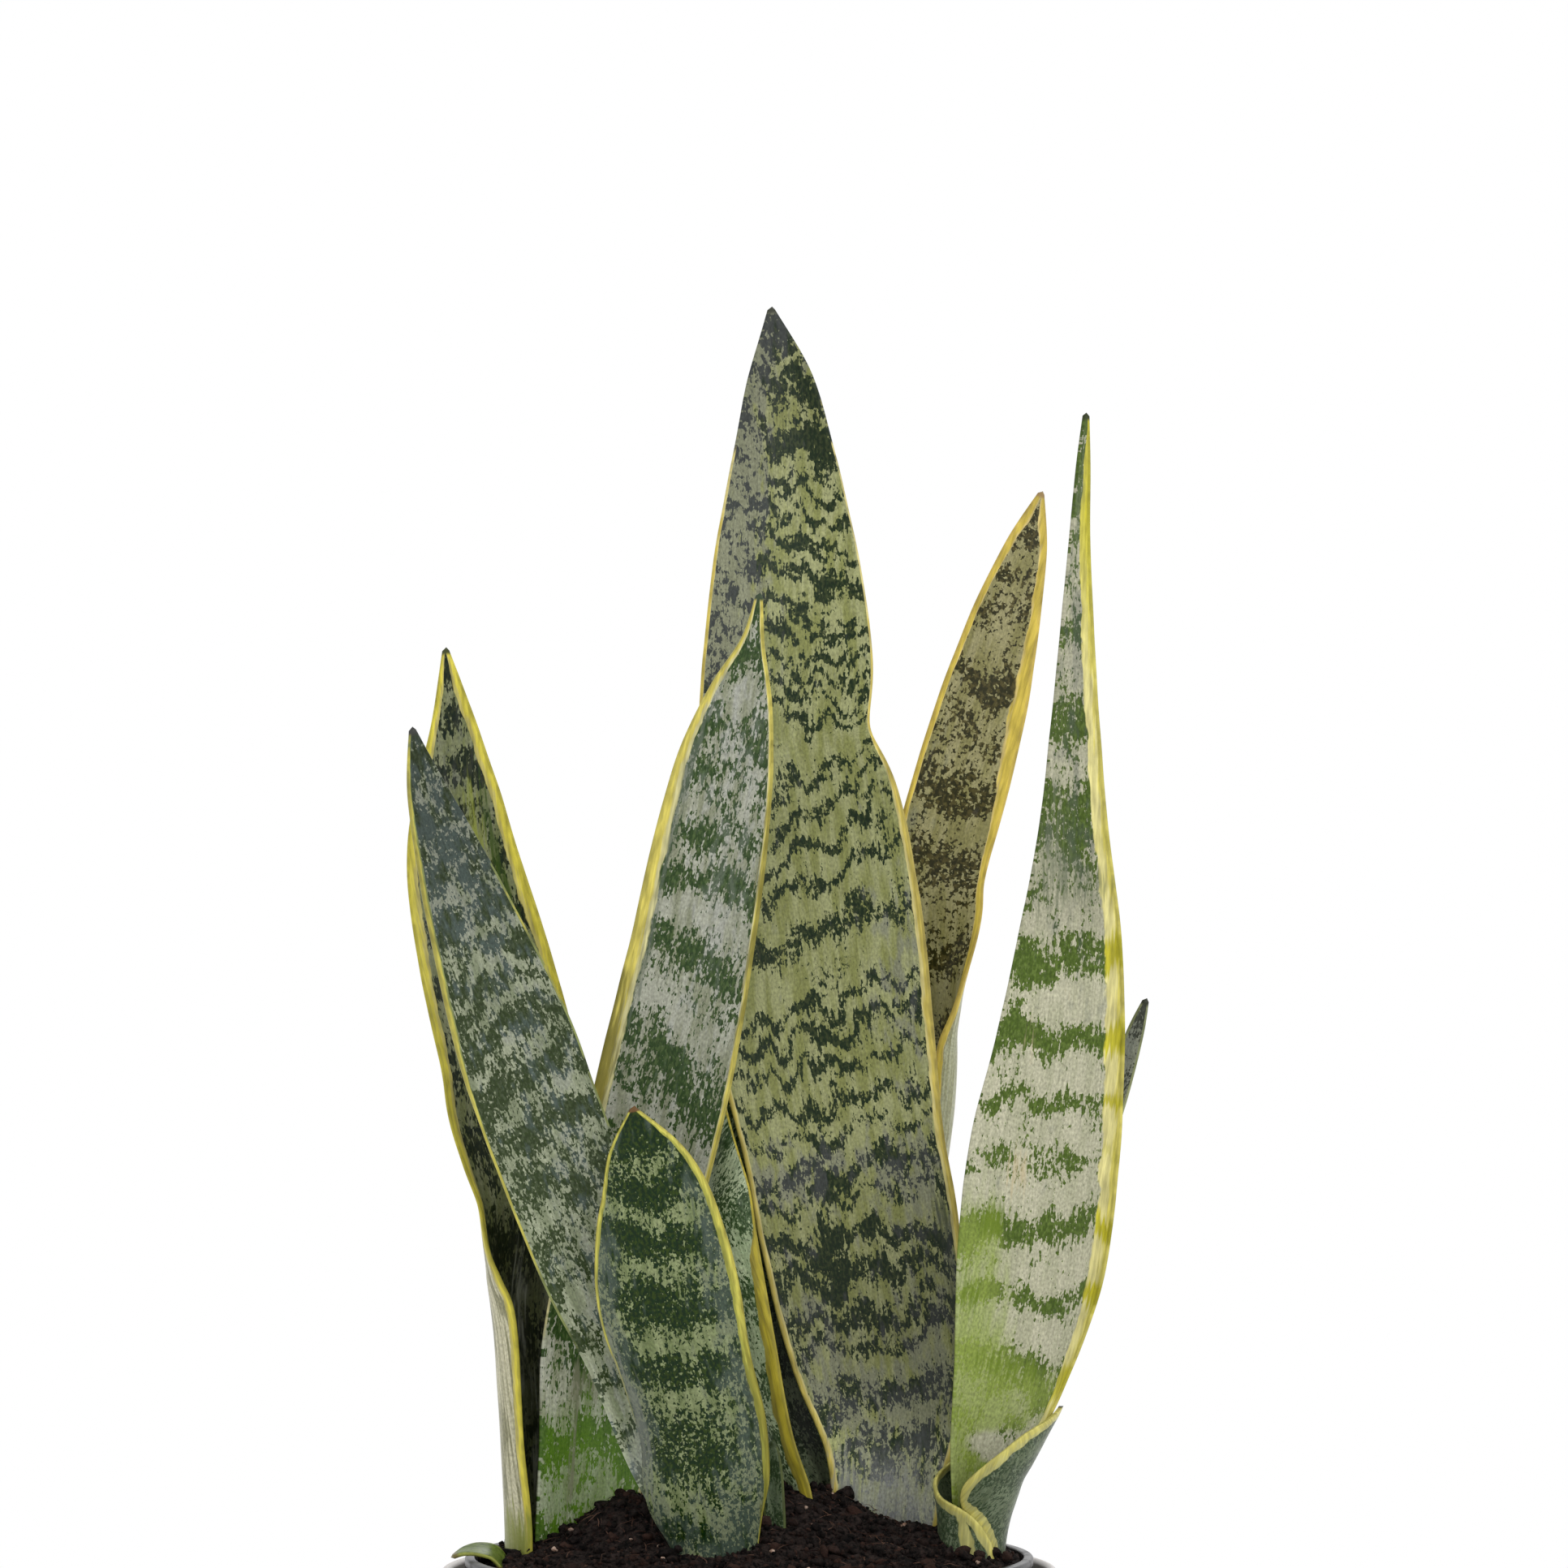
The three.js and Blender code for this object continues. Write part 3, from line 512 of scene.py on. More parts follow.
    "leaf_right_spike": leaf_of("leaf_grey_green", """
base 3
rows 140 62.5 27 8 130 15, 165 65.5 27.5 8.5 125 15, 200 75 29 9 110 14, 240 88.6 31.5 8.5 95 12,
 275 101.3 34.5 6.6 80 10, 295 107.8 36.5 4.4 60 8, 305 111.1 37.5 1.2 20 8
colors 136 139 126, 114 118 106, 60 63 54, 74 78 70, 124 128 118, 78 84 78, 90 96 84, 150 154 116,
 124 130 94, 58 62 50
wave 4 6
speckle .9 1.6 1 .5
margins 150 .3 .3, 300 .3 .3
bands 165 8 .8, 190 7 .8, 215 8 .8, 240 6 .8, 262 5 .8, 282 4 .6, 303 7 1.2
bloom 240 0 60 2 .4
"""),
    "leaf_low_centre": leaf_of("leaf_dark_green", """
base 2
rows 146 7.2 -5 5 70 -10, 160 7.1 -5 5.4 66 -10, 174 6.7 -5 4.8 56 -8, 182 6.4 -5.2 3.2 44 -6,
 185 6.4 -5.4 1.2 20 -6
colors 112 126 96, 92 106 80, 50 66 42, 66 82 56, 112 122 106, 72 84 72, 90 96 84, 112 120 74,
 92 102 62, 66 78 52
wave 4 6
speckle .9 1.3 1 .4
margins 150 .3 .3, 185 .2 .2
bands 152 4 .8, 165 4 .8, 177 4 .9
bloom 175 0 20 2 .3
"""),
    "leaf_low_rim": leaf_of("leaf_dark_green", """
base 1.8
across 0 1 0
rows 144 -66 -8 8 40 -6, 150.5 -66.8 -8.5 10 36 -8, 154.8 -69.6 -9 11 26 -12, 156 -74 -9.5 10 18 -12,
 155.6 -78 -10 7 14 -10, 154.2 -81 -10.5 2 8 -8
colors 110 128 62, 94 112 50, 54 72 28, 70 88 36, 118 132 86, 70 82 48, 60 50 40, 148 154 76,
 120 134 60, 118 110 66
wave 2 5
speckle 1 1.6 .9 .4
margins 140 .4 .4, 157 .4 .4
bands 148 2 .8, 155.5 .5 .6
"""),
    "leaf_right_sheath": leaf_of("leaf_dark_green", """
rows 138 61.4 3.4 48 -368 9.4 7.7, 150 61.6 3.4 42 -368 9.6 7.9, 157 61.9 3.4 29 -372 9.8 8.1,
 163 62.4 3.4 4 -380 10.4 8.7, 167 62.9 3.3 -26 -388 11.1 9.4, 170 63.1 3.2 -64 -390 11.7 10.2,
 174 63.6 3.1 -92 -382 12.2 11.3, 178 65.4 2.8 -124 -370 12.2 12.1, 183 68.2 2.4 -165 -354 12 12,
 188 71.4 2 -215 -336 11.4 11.4, 192 74.8 1.8 -252 -306 10.2 10.2, 194.5 76.8 1.7 -272 -282 9.3 9.3
colors 118 130 104, 102 114 88, 66 80 58, 82 96 74, 118 128 110, 84 94 80, 90 100 80, 206 198 112,
 194 190 122, 82 84 62
wave 4 8
speckle .9 1.3 1.15 .4
margins 140 2.6 2.6
bands 146 7 .75, 162 6 .75, 176 6 .75, 188 5 .75
bloom 190 0 12 2 .4
"""),
}

# ---- Leaves: their form ----
SHEATH = "leaf_right_sheath"  # the outer leaf rolled round the right tall leaf's foot
SHEATH_THICK = 1.2
SHEATH_EDGE = 0.25  # part of its thickness that is left at the margins
SHEATH_ROUNDED = 12  # one part in so many of each half rounds off
SHEATH_GRID = (90, 44)  # columns, stations
SHEATH_LENGTH = 60.0
EDGE = 0.9  # thickness at the margins
TIP = 1.3  # thickness of the middle at the tip
THINNING = 0.8  # power of the way from the thickness at the foot to the one at the tip
HEM_START = 0.55  # u where a hem begins to roll
COLUMNS = 30  # of points across each face of a blade
FINE = 3  # steps of a cross section for each column
STATION = 2.0  # mm between two stations
FEWEST = 24  # stations of a blade
MEASURES = 40  # steps in which a blade's length is measured
NEARBY = 0.1  # of the way from row to row, over which a blade's direction is taken
RIPPLE = 0.28  # margins' waves
RIPPLE_LENGTH = 13
RIPPLE_FULL = 12  # a blade narrower than this has smaller waves
FLUTE = 0.22  # shallow channels along the blade
FLUTE_WIDTH = 5.5
FLUTE_LENGTH = 90
LIP = 3  # points that round a margin off
LIP_REACH = 0.9  # how far they stand out, in half thicknesses
FADING = 0.5  # a margin narrower than this is not all there
FADED = 1.6  # by how many widths such a margin's strip moves out


def row_at(rows, place):
    """Every column of the rows at a place from 0 (foot) to 1 (tip), on smooth curves."""
    last = len(rows) - 1
    start = min(int(place * last), last - 1)
    t = place * last - start
    result = []
    for column in range(len(rows[0])):
        a, b, c, d = (rows[min(max(start + k, 0), last)][column] for k in (-1, 0, 1, 2))
        bend = 2 * a - 5 * b + 4 * c - d + t * (3 * b - a - 3 * c + d)
        result.append(b + t * (c - a + t * bend) / 2)
    return result


def middle_at(rows, place):
    z, x, y = row_at(rows, place)[:3]
    return Vector((x, y, z))


def cross_section(curl, hem):
    """(across, front, direction) of each column of a blade whose margins lie 1 apart, and its stretch."""
    steps = COLUMNS * FINE

    def heading(u):
        rolled = max(0, (u - HEM_START) / (1 - HEM_START))
        return radians(curl / 2 * u + hem * rolled**2)

    path = [(0.0, 0.0)]
    for i in range(steps):
        way = heading((i + 0.5) / steps * 2 - 1)
        x, y = path[-1]
        path.append((x + cos(way), y + sin(way)))
    chord = hypot(*path[-1])
    tilt = atan2(path[-1][1], path[-1][0])
    spots = []
    for column in range(COLUMNS + 1):
        x, y = path[column * FINE]
        across = (x * cos(tilt) + y * sin(tilt)) / chord - 0.5
        front = (y * cos(tilt) - x * sin(tilt)) / chord
        spots.append((across, front, heading(column / COLUMNS * 2 - 1) - tilt))
    return spots, steps / chord


def blade_rows(leaf, seed):
    """For each station its length so far and height, in mm, and a row of spots: (point of the middle
    layer, normal, way to the margin, thickness, relief, s across in mm, u from -1 to 1)."""
    rows = leaf["rows"]
    ends = [middle_at(rows, i / MEASURES) for i in range(MEASURES + 1)]
    length = sum((b - a).length for a, b in zip(ends, ends[1:]))
    stations = max(FEWEST, round(length / STATION))
    reference = Vector(leaf["across"])
    step = NEARBY / (len(rows) - 1)
    result = []
    run = 0.0
    previous = None
    for i in range(stations + 1):
        place = i / stations
        z, x, y, width, curl, turn = row_at(rows, place)
        turn = radians(turn)
        middle = Vector((x, y, z))
        run += (middle - previous).length if previous else 0.0
        previous = middle
        along = middle_at(rows, min(place + step, 1)) - middle_at(rows, max(place - step, 0))
        along.normalize()
        across = (reference - along * reference.dot(along)).normalized()
        across = Matrix.Rotation(turn, 3, along) @ across
        front = across.cross(along)
        span = width / cos(turn)
        wave = noise.noise(Vector((run / RIPPLE_LENGTH, seed, 0))) * RIPPLE * min(1, span / RIPPLE_FULL)
        thick = lerp(leaf["base"], TIP, place**THINNING)
        spots, stretch = cross_section(curl, leaf["hem"])
        row = []
        for column, (side, forward, way) in enumerate(spots):
            u = column / COLUMNS * 2 - 1
            point = middle + across * (span + wave) * side + front * span * forward
            normal = front * cos(way) - across * sin(way)
            edge_way = across * cos(way) + front * sin(way)
            body = EDGE + max(thick - EDGE, 0) * sqrt(max(0, 1 - u * u))
            s = u * span * stretch / 2
            flute = noise.noise(Vector((s / FLUTE_WIDTH, run / FLUTE_LENGTH, seed + 5))) * FLUTE
            row.append((point, normal, edge_way, body, flute * (1 - u * u), s, u))
        result.append((run, z, row))
    return result


def round_blade(row):
    """(point, s, u, whether it's on the back) all round one station: front, margin, back, margin."""
    ring = []
    for point, normal, _, body, relief, s, u in row:
        ring.append((point + normal * (body / 2 + relief), s, u, 0.0))
    for sign in (1, -1):
        point, normal, edge_way, body, _, s, u = row[-1 if sign > 0 else 0]
        for k in range(1, LIP + 1):
            angle = (pi / 2 - pi * k / (LIP + 1)) * sign
            offset = normal * sin(angle) + edge_way * sign * cos(angle) * LIP_REACH
            ring.append((point + offset * body / 2, s, u, 0.5))
        if sign > 0:
            for point, normal, _, body, relief, s, u in reversed(row):
                ring.append((point - normal * (body / 2 - relief * 0.5), s, u, 1.0))
    return ring


def inside(distance, wide):
    """How far in from a margin's edge a place is: below 1 it's on the margin."""
    return distance / wide + FADED * max(0, 1 - wide / FADING)


def patches(spots, z, u):
    """The sum of soft round patches at a place: each has its height and u, half sizes and strength."""
    total = 0.0
    for height, middle, tall, wide, strength in spots:
        total += strength * exp(-(((z - height) / tall) ** 2) - ((u - middle) / wide) ** 2)
    return total


def blade_mesh(name, leaf, seed):
    """A closed blade with rounded margins, and its places for the material."""
    stations = blade_rows(leaf, seed)
    length = stations[-1][0]
    points, rings = [], []
    layers = {"blade": [], "edges": [], "zones": [], "marks": [], "washes": []}
    for run, z, row in stations:
        s_left, s_right = row[0][5], row[-1][5]
        left_wide, right_wide = table_at(leaf["margins"], z)
        # Painted light and shade: the shade table's factor of lightness at this height.
        (shade,) = table_at(leaf["shade"], z)
        rise, bow = table_at(leaf["slope"], z)
        ring = round_blade(row)
        rings.append(range(len(points), len(points) + len(ring)))
        for point, s, u, behind in ring:
            points.append(point)
            edges = (inside(s - s_left, left_wide), inside(s_right - s, right_wide), length - run)
            back = behind * patches(leaf["back_zone"], z, u)
            layers["blade"].append((s, run, z - rise * s - bow * abs(s)))
            layers["edges"].append(edges)
            layers["zones"].append((patches(leaf["bloom"], z, u), patches(leaf["tint"], z, u), 0.0))
            # The marks layer holds the painted light and shade factor, the pale back's share and the dark
            # marks.
            layers["marks"].append((shade, back, patches(leaf["marks"], z, u)))
            layers["washes"].append([patches(spots, z, u) for _, _, spots in leaf["washes"]])
    faces = joined(rings)
    lead = (stations[-1][2][0][0] - stations[-2][2][0][0]).normalized()
    for ring, ahead in ((rings[0], Vector()), (rings[-1], lead)):
        points.append(sum((points[k] for k in ring), Vector()) / len(ring) + ahead)
        for layer in layers.values():
            layer.append(tuple(sum(layer[k][axis] for k in ring) / len(ring) for axis in range(3)))
        last = len(points) - 1
        for k, after in zip(ring, [*ring[1:], ring[0]]):
            faces.append((last, k, after) if ahead.length else (last, after, k))
    return mesh_from(name, points, faces, **layers)


def sheath_mesh(name, leaf):
    """The rolled leaf, as a closed sheet from its left margin round the back to its right margin."""
    columns, stations = SHEATH_GRID
    around = 2 * (columns + 1)
    points, rings = [], []
    layers = {"blade": [], "edges": [], "zones": [], "marks": []}
    for i in range(stations + 1):
        z, x, y, left, right, left_radius, right_radius = row_at(leaf["rows"], i / stations)
        rings.append(range(i * around, (i + 1) * around))
        for side in (-1, 1):
            for j in range(columns + 1)[::-side]:
                part = j / columns
                angle = radians(lerp(left, right, part))
                rounding = sqrt(1 - max(0, 1 - (1 - abs(part * 2 - 1)) * SHEATH_ROUNDED) ** 2)
                half = SHEATH_THICK / 2 * lerp(SHEATH_EDGE, 1, rounding)
                radius = lerp(left_radius, right_radius, part) + side * half
                points.append(Vector((x + radius * sin(angle), y - radius * cos(angle), z)))
                layers["blade"].append((angle * left_radius, z, z))
                layers["zones"].append((patches(leaf["bloom"], z, 0), 0.0, 0.0))
                layers["marks"].append((1.0, 0.0, 0.0))
    margins = points[around - 1 :: around], points[columns + 1 :: around]
    wide = leaf["margins"][0][1]
    for k, point in enumerate(points):
        near = (min((point - spot).length for spot in margin) / wide for margin in margins)
        layers["edges"].append((*near, SHEATH_LENGTH * (1 - k // around / stations)))
    faces = joined(rings)
    for ring in (rings[0][::-1], rings[-1]):
        faces += [(ring[j], ring[j + 1], ring[-2 - j], ring[-1 - j]) for j in range(columns)]
    return mesh_from(name, points, faces, **layers)


# ---- Leaves: their colours ----
DARK_FROM, DARK_TO = 0.43, 0.7  # of the measure of darkness: where dark begins, and where it is full
# In EVEN, the bloom is the grey waxy bloom together with painted sheen.
EVEN = 0.42  # the measure where the bloom has evened the bands out
SPREAD = 4.0  # how much a noise from 0 to 1 is stretched to count as one full step of darkness
STRONGEST = 2.0  # a band's greatest strength
FLAT, SLOPING = 0.45, 1.05  # of a band's half thickness: its flat middle, and each of its sides
PAST = 12  # mm from the lowest and from the highest band to the ends of their curve
LEAST_STEP = 0.1  # mm between the end of a band's flat middle and the meeting with the next one
CROSSED = (356, 336)  # height of the highest band that crosses a margin: none, all of it
TOP_CROSSED = (385, 445)  # height from which such a margin has the bands' colour all over

# Noises on the leaves: mm across and along the blade, detail, shift. The ones of a zone's ragged border
# go on with: how far they reach, and the values between which the zone comes in.
NOISES = {
    "strokes": (0.9, 14, 2, 23),
    "cloud": (7, 10, 2, 41),
    "blots": (3, 2.4, 1, 47),
    "pale": (3, 20, 3, 53),
    "stripes": (0.9, 34, 3, 79),
    "smears": (3.5, 16, 2, 81),
    "grooves": (0.55, 45, 2, 77),
    "mottle": (0.6, 1, 2, 78),
    "rim": (3, 7, 3, 83),
    "inner": (0.8, 24, 3, 85),
    "uneven": (1.4, 8, 3, 89),
    "ridges": (0.5, 28, 2, 97),
}
ZONES = {
    "bloom": (2.6, 8, 3, 61, 2.4, 0.3, 0.8),
    "tint": (3, 18, 3, 71, 1, 0.25, 0.95),
    "back": (4, 14, 3, 87, 0.7, 0.3, 0.6),
    "wash": (0.9, 12, 3, 73, 1.6, 0.35, 0.8),
}


def band_profile(bands, low, high):
    """(height, share of dark) through the bands: flat in each middle, with slopes that meet between two."""
    profile = [(low, 0.0)]
    for (place, half, strength), after in zip(bands, [*bands[1:], (high + 50, 1, 0)]):
        strength /= STRONGEST
        start, end = place - half * FLAT, place + half * FLAT
        if len(profile) == 1:
            profile.append((start - half * SLOPING, 0.0))
        profile += [(start, strength), (end, strength)]
        other, other_half, other_strength = after
        other_start = other - other_half * FLAT
        other_strength /= STRONGEST
        fall, rise = strength / (half * SLOPING), other_strength / (other_half * SLOPING)
        if other > high or other_start - end > half * SLOPING + other_half * SLOPING:
            profile.append((end + half * SLOPING, 0.0))
            if other <= high:
                profile.append((other_start - other_half * SLOPING, 0.0))
        else:
            meeting = (strength - other_strength + fall * end + rise * other_start) / (fall + rise)
            meeting = min(max(meeting, end + LEAST_STEP), max(other_start - LEAST_STEP, end + LEAST_STEP))
            profile.append((meeting, max(0.0, strength - fall * (meeting - end))))
    kept = profile[:1]
    for spot in profile[1:]:
        if kept[-1][0] + 2 * LEAST_STEP < spot[0] < high:
            kept.append(spot)
    return [*kept, (high, kept[-1][1])]


def leaf_material(name, leaf, seed):
    graph = Graph(name + "_material")
    plus, times, step, mix, over = graph.plus, graph.times, graph.step, graph.mix, graph.over
    s, run, height = graph.attribute("blade")
    from_left, from_right, from_tip = graph.attribute("edges")
    bloom, tint, _ = graph.attribute("zones")
    # The marks layer: painted light and shade, the pale back's share, the dark marks.
    shade, behind, marks = graph.attribute("marks")
    color_of = {key: tone(*value) for key, value in leaf["colors"].items()}

    def field(across, along, detail, shift, roughness=0.5):
        x = graph.scaled(s, 1 / across, seed * 3.1 + shift)
        y = graph.scaled(run, 1 / along, seed * 1.7 + shift)
        return graph.noise(graph.vector(x, y, seed + shift), detail=detail, roughness=roughness)

    def named(name):
        return field(*NOISES[name])

    def centred(value, size):
        return times(graph.math("SUBTRACT", value, 0.5), size)

    def zone(value, name):
        """1 where the value is high, with a ragged border."""
        *form, size, low, high = ZONES[name]
        return step(plus(value, centred(field(*form), size)), low, high)

    # Bands: their height wanders across the blade, and single strokes run past them.
    reach, width = leaf["wave"]
    fleck_wide, fleck_long, loose, patchy = leaf["speckle"]
    wander = centred(field(width, width * 3.2, 1, 11), reach * 3.2)
    level = plus(height, wander, centred(named("strokes"), leaf["jag"] * SPREAD))
    low = leaf["bands"][0][0] - PAST
    high = leaf["bands"][-1][0] + PAST
    profile = band_profile(leaf["bands"], low, high)
    points = [((place - low) / (high - low), dark) for place, dark in profile]
    part = graph.math("DIVIDE", graph.math("SUBTRACT", level, low), high - low, clamp=True)
    share = times(graph.curve(part, points), STRONGEST)

    # Flecks of both colours break the bands up, more in some places than in others.
    grain = field(fleck_wide, fleck_long, 2, 37, 0.6)
    dots = field(fleck_wide * 0.45, fleck_long * 0.45, 1, 43)
    cloud = named("cloud")
    # Grey waxy bloom and painted sheen: patches where a painted grey-blue gloss greys the colours and evens
    # the bands out.
    bloom_and_sheen_mask = zone(bloom, "bloom")
    share = plus(share, times(bloom_and_sheen_mask, leaf["blur"], graph.math("SUBTRACT", EVEN, share)))
    measure = plus(share, marks, centred(grain, loose * SPREAD), centred(cloud, patchy * SPREAD))
    measure = plus(measure, centred(dots, loose * 1.9))
    if "broken" in leaf:
        above, amount = leaf["broken"]
        blots = centred(named("blots"), amount * SPREAD)
        measure = plus(measure, times(blots, step(height, above, above + 25)))
    dark = step(measure, DARK_FROM, DARK_TO)

    # Tint and painted shade: a colour over patches, on some leaves the foot's own tint, on others a dark
    # painted shade in a shadowed channel or inner face.
    tint_and_shade_mask = zone(tint, "tint")
    pale_color = mix(step(named("pale"), 0.38, 0.62), color_of["pale"], color_of["pale_other"])
    pale_color = over(pale_color, bloom_and_sheen_mask, 0.7, color_of["bloom_pale"])
    pale_color = over(pale_color, tint_and_shade_mask, leaf["tint_on_pale"], color_of["tint"])
    flecks = step(field(fleck_wide * 0.8, fleck_long * 0.8, 2, 59), 0.44, 0.62)
    dark_color = mix(flecks, color_of["dark"], color_of["dark_other"])
    dark_color = over(dark_color, bloom_and_sheen_mask, 0.85, color_of["bloom_dark"])
    dark_color = over(dark_color, tint_and_shade_mask, 0.85, color_of["tint"])
    color = mix(dark, pale_color, dark_color)
    if leaf["back_zone"]:
        cream, streak = color_of["back"], color_of["back_other"]
        stripes = step(named("stripes"), 0.42, 0.6)
        smears = step(plus(named("smears"), centred(stripes, 0.12)), 0.5, 0.6)
        cream = over(over(cream, stripes, 0.55, streak), smears, 0.75, streak)
        color = over(color, zone(behind, "back"), 0.92, cream)
    grooves = graph.scaled(named("grooves"), 0.5, 0.75)
    mottle = graph.scaled(named("mottle"), 1.3, 0.35)
    # Painted light and shade: the colour times the shade table's factor, and times fine grooves and mottle.
    color = graph.lit_by(color, times(shade, grooves, mottle))

    # Margins: yellow, with a paler inner strip and a thin darker edge.
    rim = plus(graph.math("MINIMUM", from_left, from_right), centred(named("rim"), 0.7))
    start = leaf["inner_from"]
    inner = step(plus(rim, centred(named("inner"), 1)), start, start + 0.3)
    margin = mix(inner, color_of["margin"], color_of["margin_inner"])
    if "margin_band" in leaf:
        crossing = times(step(share, 0.45, 1), step(height, *CROSSED))
        crossing = graph.math("MAXIMUM", crossing, times(step(height, *TOP_CROSSED), 0.85))
        margin = mix(crossing, margin, tone(*leaf["margin_band"]))
    margin = over(margin, step(rim, 0.2, 0.02), 0.3, color_of["tip"])
    # The margins take the painted light of the shade table, from 1 up to 1.3, and none of its painted shade.
    bright = graph.math("MINIMUM", graph.math("MAXIMUM", shade, 1), 1.3)
    margin = graph.lit_by(margin, times(grooves, bright, plus(centred(named("uneven"), 1.5), 1)))
    color = mix(step(rim, 1.06, 0.94), color, margin)
    for place, (wash_color, amount, _) in zip(graph.attribute("washes"), leaf["washes"]):
        if amount:
            color = over(color, zone(place, "wash"), amount, tone(*wash_color))
    color = mix(step(from_tip, leaf["tip"], 0.5), color, color_of["tip"])

    rough = plus(graph.scaled(bloom_and_sheen_mask, 0.14, 0.34), centred(cloud, 0.2))
    graph.bump(plus(named("ridges"), times(grain, 0.35)), 0.12 * MM, 0.6)
    return graph.finish(color, rough, Specular_IOR_Level=0.2)


def make_leaves():
    for index, (name, leaf) in enumerate(LEAVES.items()):
        seed = SEED + 13 * index
        piece = name + "_blade"
        mesh = sheath_mesh(piece, leaf) if name == SHEATH else blade_mesh(piece, leaf, seed)
        new_piece(piece, mesh, leaf_material(name, leaf, seed), leaf["slot"], name)


# ---- Soil ----
SOIL_TOP = 149.5
MOUND = (19, 0, 12, 55, 28)  # height, middle x and y, half width and depth
HEAPS = [(-36, 7, 7, 13), (20, 19, 4, 12), (54, 6, 3, 12), (5, 11, 3, 9)]  # x, y, height, radius
UNEVEN = [(1.1, 7), (0.9, 3.1), (0.5, 1.4)]  # height and size of three noises
SOIL_WALL = [(5.9, 53), (128, 72.1), (131, 75.1)]  # height, radius
SOIL_RADIUS = 75.1
SOIL_GRID = (300, 84)  # points around, rings
SOIL_EDGE = 1.2  # how far the outermost ring lies down
CRUMBS = [(4200, 0.25, 0.6, 1), (3000, 0.5, 0.95, 1), (900, 0.9, 1.6, 2), (170, 1.5, 2.4, 2)]
FIBRES, FIBRE_STEPS = 2200, 6
SPECKS = 46


def soil_height(x, y):
    mound, mx, my, wide, deep = MOUND
    total = SOIL_TOP + mound * exp(-(((x - mx) / wide) ** 2) - ((y - my) / deep) ** 2)
    for hx, hy, height, radius in HEAPS:
        total += height * exp(-((x - hx) ** 2 + (y - hy) ** 2) / radius**2)
    for height, size in UNEVEN:
        total += height * noise.noise(Vector((x, y, 0)) / size)
    return total


def soil_mesh():
    around, rings = SOIL_GRID
    points = [Vector((0, 0, soil_height(0, 0)))]
    for i in range(1, rings + 1):
        down = SOIL_EDGE if i == rings else 0
        for x, y in circle(SOIL_RADIUS * (i / rings) ** 0.9, around):
            points.append(Vector((x, y, soil_height(x, y) - down)))
    for height, radius in reversed(SOIL_WALL):
        points += [Vector((x, y, height)) for x, y in circle(radius, around)]
    points.append(Vector((0, 0, SOIL_WALL[0][0])))
    faces = turned(rings + len(SOIL_WALL), around)
    # These rings go down, not up, so the faces turn round.
    return mesh_from("soil_body", points, [(first, *reversed(others)) for first, *others in faces])


def scattered(rng):
    """A random spot on the soil."""
    radius = (SOIL_RADIUS - 2) * sqrt(rng.uniform(0, 1))
    angle = rng.uniform(0, 2 * pi)
    x, y = radius * cos(angle), radius * sin(angle)
    return Vector((x, y, soil_height(x, y)))


def lump(rng, spot, size, detail):
    """The points and faces of one irregular crumb."""
    body = bmesh.new()
    bmesh.ops.create_icosphere(body, subdivisions=detail, radius=size)
    shift = Vector([rng.uniform(0, 90) for _ in range(3)])
    stretch = Vector([rng.uniform(*limits) for limits in ((0.7, 1.4), (0.7, 1.3), (0.5, 0.9))])
    turn = Matrix.Rotation(rng.uniform(0, 2 * pi), 3, Vector((rng.random(), rng.random(), 1)))
    points = []
    for vert in body.verts:
        place = vert.co / size
        swell = 1 + 0.55 * noise.noise(place * 1.3 + shift) + 0.3 * noise.noise(place * 3.1 + shift)
        points.append(spot + turn @ (vert.co * swell * stretch))
    faces = [tuple(vert.index for vert in face.verts) for face in body.faces]
    body.free()
    return points, faces


def tube(path, radius, sides):
    """A closed tube that thins to both ends."""
    points = []
    last = len(path) - 1
    for i, spot in enumerate(path):
        along = (path[min(i + 1, last)] - path[max(i - 1, 0)]).normalized()
        across = along.orthogonal().normalized()
        other = along.cross(across)
        size = radius * (0.35 + 0.65 * sin(pi * (i + 0.5) / (last + 1)))
        for k in range(sides):
            angle = 2 * pi * k / sides
            points.append(spot + across * size * cos(angle) + other * size * sin(angle))
    rings = [range(i * sides, (i + 1) * sides) for i in range(last + 1)]
    return points, [*joined(rings), tuple(reversed(rings[0])), tuple(rings[-1])]


def add_bit(points, faces, bit):
    start = len(points)
    points.extend(bit[0])
    faces.extend(tuple(start + k for k in face) for face in bit[1])


def crumb_mesh():
    rng = random.Random(SEED)
    points, faces, bits = [], [], []
    for count, low, high, detail in CRUMBS:
        for _ in range(count):
            size = rng.uniform(low, high)
            spot = scattered(rng) + UP * size * rng.uniform(-0.1, 0.6)
            add_bit(points, faces, lump(rng, spot, size, detail))
            bits += [(rng.random(), rng.random(), 0.0)] * (len(points) - len(bits))
    return mesh_from("soil_crumbs", points, faces, bit=bits)


def fibre_mesh():
    rng = random.Random(SEED + 1)
    points, faces = [], []
    for _ in range(FIBRES):
        place = scattered(rng)
        heading = rng.uniform(0, 2 * pi)
        pitch = rng.uniform(-0.3, 0.5)
        path = []
        length = rng.uniform(2, 7)
        for _ in range(FIBRE_STEPS + 1):
            path.append(place)
            heading += rng.uniform(-0.5, 0.5)
            pitch -= rng.uniform(0, 0.25)
            place = place + Vector((cos(heading), sin(heading), pitch)) * length / FIBRE_STEPS
            ground = soil_height(place.x, place.y)
            place.z = min(max(place.z, ground - 0.3), ground + 1.6)
        if all(hypot(point.x, point.y) <= SOIL_RADIUS - 1 for point in path):
            add_bit(points, faces, tube(path, rng.uniform(0.06, 0.19), 5))
    return mesh_from("soil_fibres", points, faces)


